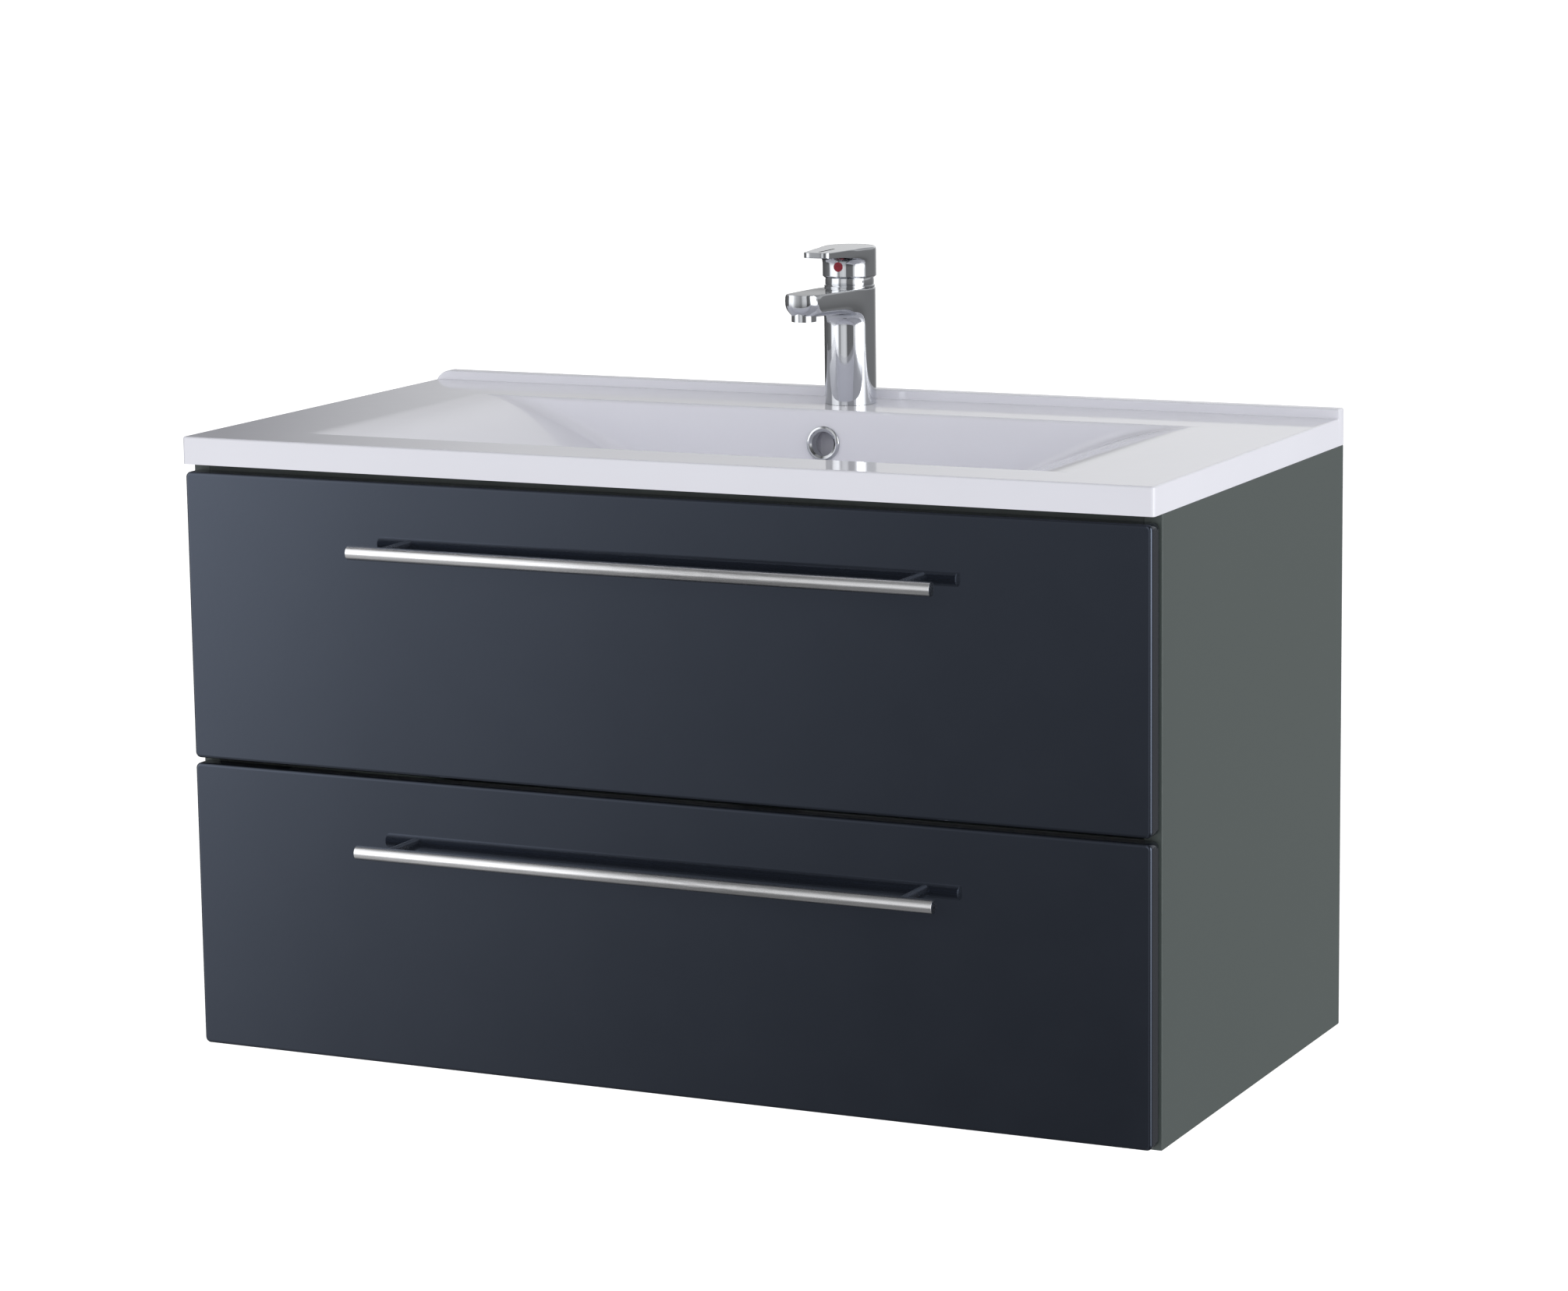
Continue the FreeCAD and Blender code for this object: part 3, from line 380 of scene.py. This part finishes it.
def upstand_height(x):
    """Full height, but rounded down to the deck at the left end."""
    over = x + HALF_WIDTH - UPSTAND_RUN
    if over >= 0:
        return UPSTAND_HIGH
    radius = (UPSTAND_RUN ** 2 + UPSTAND_HIGH ** 2) / (2 * UPSTAND_HIGH)
    return max(UPSTAND_HIGH - radius + math.sqrt(radius ** 2 - over ** 2), 0.0)


def flat_run(start, stop, cells):
    """Steps from start to stop, both left out, with narrow first and last cells."""
    step = math.copysign(NARROW, stop - start)
    return [start + step + (stop - start - 2 * step) * i / cells for i in range(cells + 1)]


def basin_section(x):
    """(y, z) points from the wall over the upstand, the deck and the bowl to the front edge."""
    high = upstand_height(x)
    k = high / UPSTAND_HIGH
    arris = UPSTAND_ARRIS * k
    points = [(0.0, -EDGE_HIGH), (0.0, high - arris), (-arris, high), (-UPSTAND_FLAT, high)]
    for i in range(1, 5):
        a = math.radians(90 * i / 4)
        points.append((-UPSTAND_FLAT - UPSTAND_ROUND * math.sin(a),
                       high - UPSTAND_ROUND * k * (1 - math.cos(a))))
    for i in range(5):
        a = math.radians(90 * i / 4)
        points.append((-UPSTAND_FOOT - UPSTAND_FILLET * (1 - math.cos(a)),
                       UPSTAND_FILLET * k * (1 - math.sin(a))))
    depth = bowl_depth(x)
    profile = wall_profile(depth)
    start = RIM_R * math.tan(WALL_TURN / 2)
    back, front = BOWL_BACK + start, BOWL_FRONT - start
    last = points[-1][0]
    points += [(y, 0.0) for y in flat_run(last, back, 10)]
    points += [(back - u, -v) for u, v in profile]
    low_back, low_front = back - profile[-1][0], front + profile[-1][0]
    points += [(y, -depth) for y in flat_run(low_back, low_front, 28)]
    points += [(front + u, -v) for u, v in reversed(profile)]
    edge = FRONT_Y + CORNER_R
    points += [(y, 0.0) for y in flat_run(front, edge, 6)] + [(edge, 0.0)]
    for i in range(6):
        a = math.radians(90 * i / 5)
        points.append((FRONT_Y + EDGE_R * (1 - math.sin(a)), -EDGE_R * (1 - math.cos(a))))
    points.append((FRONT_Y, -EDGE_HIGH))
    return points


def basin_columns():
    """(x of the section, x, drop) for each column from the left side to the right side."""
    side = []
    for i in range(6):
        a = math.radians(90 * (1 - i / 5))
        side.append((HALF_WIDTH - EDGE_R * (1 - math.sin(a)), EDGE_R * (1 - math.cos(a))))
    inner = HALF_WIDTH - CORNER_R
    rounded = UPSTAND_RUN - CORNER_R
    xs = [-inner, -inner + NARROW] + [-inner + rounded * i / 8 for i in range(1, 9)]
    xs += [xs[-1] + (-PAST_BOWL - xs[-1]) * i / 10 for i in range(1, 11)]
    xs += [-PAST_BOWL + 2 * PAST_BOWL * i / 200 for i in range(1, 201)]
    xs += [PAST_BOWL + (inner - PAST_BOWL) * i / 12 for i in range(1, 12)]
    xs += [inner - NARROW, inner]
    columns = [(-HALF_WIDTH, -HALF_WIDTH, None)]
    columns += [(-x, -x, drop) for x, drop in side]
    columns += [(x, x, 0.0) for x in xs]
    columns += [(x, x, drop) for x, drop in reversed(side)]
    columns.append((HALF_WIDTH, HALF_WIDTH, None))
    return columns


def rounded_corner(co):
    """Moves a point in a square corner of the plan onto the same corner rounded."""
    for side in (-1, 1):
        u = (side * co.x - (HALF_WIDTH - CORNER_R)) / CORNER_R
        v = (FRONT_Y + CORNER_R - co.y) / CORNER_R
        if u > 0 and v > 0:
            co.x = side * (HALF_WIDTH - CORNER_R + CORNER_R * u * math.sqrt(1 - v * v / 2))
            co.y = FRONT_Y + CORNER_R - CORNER_R * v * math.sqrt(1 - u * u / 2)
            return


def cut_round(bm, centre, axis, radius, sides=48):
    """Cuts a round hole in the flat skin round centre, one tangent cut after another."""
    across = axis.orthogonal().normalized()
    along = axis.cross(across).normalized()
    inside = [f for f in bm.faces
              if (f.calc_center_median() - centre).length < radius * 2 + 0.012
              and abs((f.calc_center_median() - centre).dot(axis)) < 0.006]
    for i in range(sides):
        a = math.tau * i / sides
        outward = across * math.cos(a) + along * math.sin(a)
        touch = centre + outward * radius
        verts = list({v for f in inside for v in f.verts})
        edges = list({e for f in inside for e in f.edges})
        cut = bmesh.ops.bisect_plane(bm, geom=verts + edges + inside, plane_co=touch,
                                     plane_no=outward, dist=1e-7)
        inside = [f for f in cut["geom"] if isinstance(f, bmesh.types.BMFace)
                  and (f.calc_center_median() - touch).dot(outward) < 0]
    bmesh.ops.delete(bm, geom=inside, context="FACES")


def over_the_casting(x, y):
    """Whether the deck's underside is joined to the skirt, the bowl or the duct at a point."""
    if abs(x) > HALF_WIDTH - SIDE_SKIRT or y > -SIDE_SKIRT or y < FRONT_Y + FRONT_SKIRT:
        return True
    if abs(x) < DUCT_HALF and DUCT_FRONT < y < DUCT_BACK:
        return True
    lean = DECK_THICK * math.tan(DRAFT)
    across = BOWL_FRONT - CAST_WALL + lean < y < BOWL_BACK + CAST_WALL - lean
    return across and abs(x) < CAST_WALL_HALF and CAST_WALL + bowl_depth(x) > DECK_THICK


def not_underside(face):
    """Whether a face of the CAD casting is on its outside or top, or between its divisions."""
    c, n = face.calc_center_median(), face.normal
    if c.z > DECK_Z + NEAR or face.calc_area() < 1e-12:
        return True
    if abs(n.x) > 0.999 and any(abs(abs(c.x) - cut) < ON_PLANE for cut in PARTING_X):
        return True
    if abs(n.y) > 0.999 and any(abs(c.y - cut) < ON_PLANE for cut in PARTING_Y):
        return True
    under_deck = n.z < -0.999 and abs(c.z - DECK_Z + DECK_THICK) < ON_PLANE
    if under_deck and over_the_casting(c.x, c.y):
        return True
    if abs(c.x) > HALF_WIDTH - CORNER_R and c.y < FRONT_Y + CORNER_R and abs(n.z) < 0.9:
        return True
    if abs(c.x) > HALF_WIDTH - NEAR or c.y < FRONT_Y + NEAR or c.y > -NEAR:
        return True
    away = c - OVERFLOW
    from_axis = (away - OVERFLOW_AXIS * away.dot(OVERFLOW_AXIS)).length
    in_overflow = from_axis < OVERFLOW_HOLE_R + 0.0002 and away.length < 0.03
    return n.z > 0.03 and c.z > DRAIN.z - NEAR and not in_overflow


def washbasin():
    """The smooth outside, made afresh, over the underside of the CAD casting."""
    columns = basin_columns()
    sections = [basin_section(x) for x, _, _ in columns]
    rows = len(sections[0])
    bm = bmesh.new()
    bmesh.ops.create_grid(bm, x_segments=len(columns) - 1, y_segments=rows - 1, size=1.0)
    for v in bm.verts:
        i = round((v.co.x + 1) / 2 * (len(columns) - 1))
        j = round((1 - v.co.y) / 2 * (rows - 1))
        y, z = sections[i][j]
        drop = columns[i][2]
        z = -EDGE_HIGH if drop is None or j in (0, rows - 1) else z - drop
        v.co = Vector((columns[i][1], y, z + DECK_Z))
        rounded_corner(v.co)
    bmesh.ops.remove_doubles(bm, verts=bm.verts, dist=2e-6)
    bmesh.ops.dissolve_degenerate(bm, edges=bm.edges, dist=2e-6)
    cut_round(bm, DRAIN, Vector((0, 0, 1)), DRAIN_HOLE_R)
    cut_round(bm, TAP, Vector((0, 0, 1)), TAP_HOLE_R, sides=32)
    cut_round(bm, OVERFLOW, OVERFLOW_AXIS, OVERFLOW_HOLE_R)
    bmesh.ops.recalc_face_normals(bm, faces=bm.faces)
    if sum(f.normal.z * f.calc_area() for f in bm.faces) < 0:
        bmesh.ops.reverse_faces(bm, faces=bm.faces)

    under = merged_copy("washbasin")
    spare_faces = [f for f in under.faces if not_underside(f)]
    bmesh.ops.delete(under, geom=spare_faces, context="FACES")
    spare = bpy.data.meshes.new("underside")
    under.to_mesh(spare)
    under.free()
    bm.from_mesh(spare)
    bpy.data.meshes.remove(spare)
    mesh = bpy.data.meshes.new("cast_washbasin")
    bm.to_mesh(mesh)
    bm.free()
    set_up("cast_washbasin", mesh, WHITE, "cabinet", ["washbasin"], 34.0)


washbasin()


# ---------------------------------------------------------------------------
# Cabinet and drawer fronts
# ---------------------------------------------------------------------------
FRONT_CORNER_R, FRONT_EDGE_R, FRONT_BACK_R = 0.005, 0.0025, 0.0006
PANEL_EDGE_R, BAR_END_R = 0.0009, 0.0009


def drawer_front(name):
    low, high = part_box(name + "_front")
    bm = block(low, high)
    round_edges(bm, lambda e: runs_along(e, 1), FRONT_CORNER_R, 8)
    round_edges(bm, lambda e: all(v.co.y < low.y + ON_PLANE for v in e.verts), FRONT_EDGE_R, 6)
    round_edges(bm, lambda e: all(v.co.y > high.y - ON_PLANE for v in e.verts), FRONT_BACK_R, 2)
    hold_flat(bm)
    piece(name + "_lacquered_front", bm, GLOSS, name + "_drawer",
          [name + "_front"])


def side_panel(side):
    node = "side_panel_" + side
    low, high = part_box(node)
    bm = block(low, high)
    round_edges(bm, lambda e: len(e.link_faces) == 2, PANEL_EDGE_R, 3)
    hold_flat(bm)
    piece("lacquered_" + node, bm, SATIN, "cabinet", [node])


def handle_bar(name):
    low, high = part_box(name + "_handle_bar")
    middle = (low + high) / 2
    radius = (high.z - low.z) / 2
    bm = bmesh.new()
    turn = Matrix.Translation(middle) @ Matrix.Rotation(math.radians(90), 4, "Y")
    bmesh.ops.create_cone(bm, cap_ends=True, cap_tris=False, segments=64, radius1=radius,
                          radius2=radius, depth=high.x - low.x, matrix=turn)
    round_edges(bm, lambda e: all(abs(abs(v.co.x) - high.x) < ON_PLANE for v in e.verts),
                BAR_END_R, 3)
    piece(name + "_satin_bar", bm, BAR_STEEL, name + "_drawer",
          [name + "_handle_bar"])


for drawer in DRAWERS:
    drawer_front(drawer)
    handle_bar(drawer)
for side in ("left", "right"):
    side_panel(side)


# ---------------------------------------------------------------------------
# Tap and waste
# ---------------------------------------------------------------------------
def smooth_from_cad(node, body, material, angle=32.0):
    bm = merged_copy(node)
    mesh = bpy.data.meshes.new("smooth_" + node)
    bm.to_mesh(mesh)
    bm.free()
    set_up("smooth_" + node, mesh, material, body, [node], angle)


for node, body in (("aerator", "cabinet"), ("overflow_ring", "cabinet"),
                   ("waste_body", "cabinet"), ("drain_plug", "plug")):
    smooth_from_cad(node, body, CHROME)

BARREL_R, CAP_R, NECK_R = 0.0232, 0.0241, 0.0219
BODY_TOP, CAP_BOTTOM, CAP_TOP, TILT_UP = 0.1054, 0.1144, 0.1420, 0.110
RING_POINTS = 24
GROWN = 1.0115             # smoothing draws a ring of 24 points in by this much


def ring_stack(radius, heights):
    """Stacked rings of points round the tap's axis, closed at both ends, ready for smoothing."""
    bm = bmesh.new()
    middle = TAP + Vector((0, 0, (heights[0] + heights[-1]) / 2))
    bmesh.ops.create_cone(bm, cap_ends=True, cap_tris=False, segments=RING_POINTS,
                          radius1=radius * GROWN, radius2=radius * GROWN,
                          depth=heights[-1] - heights[0], matrix=Matrix.Translation(middle))
    for z in heights[1:-1]:
        bmesh.ops.bisect_plane(bm, geom=bm.verts[:] + bm.edges[:] + bm.faces[:], dist=1e-7,
                               plane_co=TAP + Vector((0, 0, z)), plane_no=(0, 0, 1))
    return bm


def draw_out(bm, half_turn, low, high, rows, stations, point):
    """Draws the front of a stack out along -Y through stations of moved points."""
    across = bm.verts.layers.float.new("across")
    up = bm.verts.layers.float.new("up")
    patch = []
    for f in bm.faces:
        c = f.calc_center_median() - TAP
        if abs(f.normal.z) < 0.5 and low < c.z < high and abs(math.atan2(c.x, -c.y)) < half_turn:
            patch.append(f)
    for v in {v for f in patch for v in f.verts}:
        away = v.co - TAP
        v[across] = math.atan2(away.x, -away.y) / half_turn
        v[up] = min(range(rows), key=lambda i: abs(low + (high - low) * i / (rows - 1) - away.z))
    for station in stations:
        drawn = bmesh.ops.extrude_face_region(bm, geom=patch)["geom"]
        bmesh.ops.delete(bm, geom=patch, context="FACES")
        patch = [g for g in drawn if isinstance(g, bmesh.types.BMFace)]
        for v in [g for g in drawn if isinstance(g, bmesh.types.BMVert)]:
            v.co = TAP + Vector(point(v[across], round(v[up]), *station))


def crease(bm, test, sharpness):
    layer = bm.edges.layers.float.get("crease_edge") or bm.edges.layers.float.new("crease_edge")
    for edge in bm.edges:
        if test(edge):
            edge[layer] = sharpness


def turns_at(edge, least=45.0):
    return len(edge.link_faces) == 2 and edge.calc_face_angle() > math.radians(least)


def smoothed(bm, levels, cutter=None):
    """The stack's smoothed mesh, less the cutter's shape."""
    bmesh.ops.recalc_face_normals(bm, faces=bm.faces)
    made = []
    for name, source in (("stack", bm), ("cutter", cutter)):
        if source:
            mesh = bpy.data.meshes.new(name)
            source.to_mesh(mesh)
            source.free()
            made.append(bpy.data.objects.new(name, mesh))
            bpy.context.scene.collection.objects.link(made[-1])
    stack = made[0]
    stack.data.shade_smooth()
    smooth = stack.modifiers.new("smooth", "SUBSURF")
    smooth.levels = smooth.render_levels = levels
    if cutter:
        cut = stack.modifiers.new("cut", "BOOLEAN")
        cut.operation, cut.solver, cut.object = "DIFFERENCE", "EXACT", made[1]
    graph = bpy.context.evaluated_depsgraph_get()
    mesh = bpy.data.meshes.new_from_object(stack.evaluated_get(graph))
    for obj in made:
        old = obj.data
        bpy.data.objects.remove(obj)
        bpy.data.meshes.remove(old)
    return mesh


def spout_point(u, row, reach, half, top, depth, bow):
    """Flat top, bulging sides and a round belly; bow rounds the tip in plan and underneath."""
    wide = (0.72, 1.00, 1.04, 1.0)[row]
    fall = (0.88 + 0.12 * (1 - u * u), 0.64, 0.32, 0.0)[row]
    tuck = (0.30, 0.05, 0.0, 0.0)[row]
    return half * wide * u, -reach + bow * (u ** 4 + tuck), top - depth * fall


def tap_body():
    """Barrel and spout in one, with a crisp edge round the top and the foot."""
    low = 0.0828
    heights = [0.0002, 0.0016, 0.022, 0.042, 0.056, 0.0700, low, 0.0903, 0.0978, BODY_TOP]
    bm = ring_stack(BARREL_R, heights)
    stations = [(0.036, 0.0199, 0.1061, 0.0226, 0.0), (0.060, 0.0187, 0.1067, 0.0218, 0.0),
                (0.086, 0.0174, 0.1072, 0.0212, 0.0), (0.101, 0.0167, 0.1075, 0.0210, 0.0020),
                (0.1095, 0.0158, 0.1077, 0.0206, 0.0075)]
    draw_out(bm, math.radians(60), low, BODY_TOP, 4, stations, spout_point)
    crease(bm, lambda e: turns_at(e) and all(v.co.z > DECK_Z + 0.1045 for v in e.verts), 0.48)
    crease(bm, lambda e: turns_at(e) and all(v.co.z < DECK_Z + 0.002 for v in e.verts), 1.0)
    set_up("polished_tap_body", smoothed(bm, 3), CHROME, "cabinet", ["tap_body"], 50.0)


def blade_point(u, row, reach, half, top, low, corner):
    """Flat blade whose corners are rounded in plan at its tip."""
    past = max(abs(u) - 0.55, 0.0) / 0.45
    return half * u, -reach + corner * past * past, low + (top - low) * row / 2


def tap_lever():
    """Hollow cap with a flat blade drawn out of it, slotted near its tip."""
    low, edge, lip, chamfer = 0.1315, 0.0036, 0.0013, 0.0012
    hollow_high = 0.0114
    heights = [CAP_BOTTOM, CAP_BOTTOM + chamfer, 0.1220, low, 0.1368, CAP_TOP]
    bm = ring_stack(CAP_R, heights)
    for v in bm.verts:
        if v.co.z < TAP.z + CAP_BOTTOM + ON_PLANE:
            v.co.xy = TAP.xy + (v.co.xy - TAP.xy) * (1 - chamfer / CAP_R)
    stations = [(0.028, 0.0192, 0.1420, 0.1330, 0.0), (0.040, 0.0172, 0.1419, 0.1352, 0.0),
                (0.058, 0.0143, 0.1418, 0.1362, 0.0), (0.069, 0.0126, 0.1418, 0.1368, 0.0),
                (0.0728, 0.0120, 0.1418, 0.1370, 0.0028)]
    draw_out(bm, math.radians(75), low, CAP_TOP, 3, stations, blade_point)
    bm.faces.ensure_lookup_table()
    ends = [f for f in bm.faces if len(f.verts) == RING_POINTS]
    for end in ends:
        above = end.normal.z > 0
        bmesh.ops.inset_region(bm, faces=[end], thickness=edge if above else lip,
                               use_even_offset=True)
        if not above:
            hollow = bmesh.ops.extrude_face_region(bm, geom=[end])["geom"]
            bmesh.ops.delete(bm, geom=[end], context="FACES")
            bmesh.ops.translate(bm, vec=(0, 0, hollow_high),
                                verts=[g for g in hollow if isinstance(g, bmesh.types.BMVert)])
    crease(bm, lambda e: turns_at(e, 30) and all(v.co.z < TAP.z + 0.1262 for v in e.verts), 1.0)
    crease(bm, lambda e: turns_at(e) and all(v.co.y < TAP.y - 0.026 for v in e.verts), 0.45)
    half, slot_tip, slot_root, slot_floor, slot_top = 0.0013, -0.064, -0.032, 0.1392, 0.1450
    slot = block(TAP + Vector((-half, slot_tip, slot_floor)),
                 TAP + Vector((half, slot_root, slot_top)))
    round_edges(slot, lambda e: runs_along(e, 2), half - 0.00005, 6)
    set_up("polished_tap_lever", smoothed(bm, 3, slot), CHROME, "tap_handle",
           ["tap_lever"], 50.0)


def turned(profile, centre, segments=72):
    """A closed (radius, height) outline turned about an upright axis."""
    bm = bmesh.new()
    verts = [bm.verts.new(centre + Vector((r, 0, z))) for r, z in profile]
    edges = [bm.edges.new(pair) for pair in zip(verts, verts[1:] + verts[:1])]
    bmesh.ops.spin(bm, geom=verts + edges, cent=centre, axis=(0, 0, 1), angle=math.tau,
                   steps=segments, use_merge=True)
    bmesh.ops.remove_doubles(bm, verts=bm.verts, dist=1e-7)
    return bm


def neck_ring():
    """Seat on the barrel with a ball above it, on which the cap tilts."""
    ball = [0.1078 + (0.1160 - 0.1078) * i / 10 for i in range(11)]
    profile = [(0.0142, BODY_TOP), (0.0223, BODY_TOP), (0.0227, BODY_TOP + 0.0003),
               (0.0227, 0.1068), (0.0224, 0.1071), (0.0210, 0.1072), (0.0210, 0.1076)]
    profile += [(math.sqrt(NECK_R ** 2 - (z - TILT_UP) ** 2), z) for z in ball]
    profile.append((0.0142, 0.1160))
    piece("polished_neck_ring", turned(profile, TAP), CHROME, "cabinet", ["neck_ring"])


def index_dot():
    low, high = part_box("index_dot")
    radius = (high.z - low.z) / 2
    bm = bmesh.new()
    turn = Matrix.Translation((low + high) / 2) @ Matrix.Rotation(math.radians(90), 4, "X")
    bmesh.ops.create_cone(bm, cap_ends=True, cap_tris=False, segments=48, radius1=radius,
                          radius2=radius, depth=high.y - low.y, matrix=turn)
    face = min(bm.faces, key=lambda f: f.calc_center_median().y)
    for step in range(3):
        bmesh.ops.inset_region(bm, faces=[face], thickness=0.001, depth=0.00012 - 0.00003 * step)
    for v in bm.verts:
        v.co.y = max(v.co.y, low.y)
    piece("red_index_dot", bm, RED, "tap_handle", ["index_dot"], 40.0)


tap_body()
tap_lever()
neck_ring()
index_dot()


# ---------------------------------------------------------------------------
# Studio: pale floor, soft light all round, camera
# ---------------------------------------------------------------------------
DECK_HEIGHT, FLOOR_SIZE = 0.85, 60.0

# (direction from -1 to 1, brightness): what polished faces mirror from the front and from the
# wall's side, and what lights dull faces; ACROSS goes from left to right, UP from below to above
FRONT_ACROSS = [(-1.0, 0.2), (-0.95, 0.25), (-0.90, 1.5), (-0.76, 1.75), (-0.60, 1.95),
                (-0.54, 1.68), (-0.50, 1.07), (-0.45, 0.66), (-0.40, 0.43), (-0.35, 0.35),
                (-0.28, 0.8), (0.0, 0.95), (0.14, 0.75), (0.20, 0.18), (0.60, 0.2),
                (0.68, 0.9), (0.74, 1.1), (0.78, 4.5), (0.99, 4.5), (1.0, 0.4)]
FRONT_UP = [(-1.0, 0.3), (-0.5, 0.28), (-0.28, 0.42), (-0.13, 1.0), (0.1, 1.1), (0.5, 0.9),
            (0.8, 0.4), (1.0, 0.3)]
BACK_ACROSS = [(-1.0, 0.4), (-0.60, 0.10), (-0.53, 0.08), (-0.505, 0.41), (-0.48, 0.65),
               (-0.43, 0.72), (-0.40, 0.85), (-0.37, 0.95), (-0.34, 1.01), (0.0, 1.1),
               (0.3, 0.62), (1.0, 0.6)]
BACK_UP = [(-1.0, 0.2), (-0.35, 0.3), (-0.05, 0.42), (0.05, 0.48), (0.085, 0.93), (0.30, 0.9),
           (0.6, 0.6), (1.0, 0.3)]
FRONT_TO_BACK = [(-1.0, 0.0), (-0.15, 0.0), (0.15, 1.0), (1.0, 1.0)]
SOFT_UP = [(-1.0, 0.68), (0.0, 0.86), (0.15, 1.25), (0.45, 1.36), (0.6, 0.62), (0.75, 0.28),
           (1.0, 0.22)]
SOFT_ACROSS = [(-1.0, 0.84), (0.0, 1.0), (1.0, 1.55)]
BACKDROP = 1.05

CAMERA_AT = (1.7600, -3.8771, 0.6308)
YAW, PITCH, ROLL = (math.radians(a) for a in (25.558, 10.001, 0.759))
SENSOR_WIDTH, FOCAL_LENGTH, FARTHEST = 36.0, 107.68, 200.0


def floor():
    bm = bmesh.new()
    bmesh.ops.create_grid(bm, x_segments=1, y_segments=1, size=FLOOR_SIZE,
                          matrix=Matrix.Translation((0, 0, DECK_Z - DECK_HEIGHT)))
    mesh = bpy.data.meshes.new("studio_floor")
    bm.to_mesh(mesh)
    bm.free()
    m = finish("pale_floor", (0.86, 0.86, 0.86), 0.9, Specular_IOR_Level=0.0,
               Emission_Color=(1.0, 1.0, 1.0, 1.0), Emission_Strength=0.62)
    mesh.materials.append(m)
    obj = bpy.data.objects.new("studio_floor", mesh)
    bpy.context.scene.collection.objects.link(obj)
    obj.visible_glossy = False
    obj.visible_diffuse = False


def light_by_direction(tree, axis, stops):
    """Brightness read off a ramp by one component of the direction, from -1 to 1."""
    nodes, links = tree.nodes, tree.links
    where = nodes.new("ShaderNodeTexCoord")
    split = nodes.new("ShaderNodeSeparateXYZ")
    spread = nodes.new("ShaderNodeMapRange")
    spread.inputs["From Min"].default_value = -1.0
    ramp = nodes.new("ShaderNodeValToRGB")
    links.new(where.outputs["Generated"], split.inputs[0])
    links.new(split.outputs[axis], spread.inputs["Value"])
    links.new(spread.outputs["Result"], ramp.inputs["Fac"])
    elements = ramp.color_ramp.elements
    while len(elements) < len(stops):
        elements.new(0.5)
    top = max(level for _, level in stops)
    for element, (at, level) in zip(elements, stops):
        element.position = (at + 1) / 2
        element.color = (level / top,) * 3 + (1.0,)
    scale = nodes.new("ShaderNodeMath")
    scale.operation = "MULTIPLY"
    scale.inputs[1].default_value = top
    links.new(ramp.outputs["Color"], scale.inputs[0])
    return scale.outputs[0]


def studio_light():
    world = bpy.data.worlds.new("soft_studio")
    bpy.context.scene.world = world
    world.use_nodes = True
    tree = world.node_tree
    nodes, links = tree.nodes, tree.links
    nodes.clear()

    def math_node(kind, a, b):
        node = nodes.new("ShaderNodeMath")
        node.operation = kind
        for socket, value in zip(node.inputs, (a, b)):
            if isinstance(value, float):
                socket.default_value = value
            else:
                links.new(value, socket)
        return node.outputs[0]

    def choose(factor, a, b):
        """a where the factor is 0, b where it is 1."""
        return math_node("ADD", math_node("MULTIPLY", a, math_node("SUBTRACT", 1.0, factor)),
                         math_node("MULTIPLY", b, factor))

    def by_direction(axis, stops):
        return light_by_direction(tree, axis, stops)

    front = math_node("MULTIPLY", by_direction("X", FRONT_ACROSS), by_direction("Z", FRONT_UP))
    back = math_node("MULTIPLY", by_direction("X", BACK_ACROSS), by_direction("Z", BACK_UP))
    reflected = choose(by_direction("Y", FRONT_TO_BACK), front, back)
    soft = math_node("MULTIPLY", by_direction("Z", SOFT_UP), by_direction("X", SOFT_ACROSS))
    path = nodes.new("ShaderNodeLightPath")
    level = choose(path.outputs["Is Glossy Ray"], soft, reflected)
    level = choose(path.outputs["Is Camera Ray"], level, BACKDROP)
    background = nodes.new("ShaderNodeBackground")
    background.inputs["Color"].default_value = (0.985, 0.99, 1.0, 1.0)
    links.new(level, background.inputs["Strength"])
    out = nodes.new("ShaderNodeOutputWorld")
    links.new(background.outputs[0], out.inputs["Surface"])


def camera():
    forward = Vector((-math.sin(YAW) * math.cos(PITCH), math.cos(YAW) * math.cos(PITCH),
                      -math.sin(PITCH)))
    right = Vector((math.cos(YAW), math.sin(YAW), 0.0))
    down = forward.cross(right)
    x_axis = right * math.cos(ROLL) + down * math.sin(ROLL)
    y_axis = -(down * math.cos(ROLL) - right * math.sin(ROLL))
    data = bpy.data.cameras.new("camera")
    data.sensor_width = SENSOR_WIDTH
    data.lens = FOCAL_LENGTH
    data.clip_end = FARTHEST
    obj = bpy.data.objects.new("camera", data)
    turn = Matrix((x_axis, y_axis, -forward)).transposed().to_4x4()
    obj.matrix_world = Matrix.Translation(CAMERA_AT) @ turn
    bpy.context.scene.collection.objects.link(obj)
    bpy.context.scene.camera = obj


floor()
studio_light()
camera()
bpy.context.scene.view_settings.view_transform = "Standard"
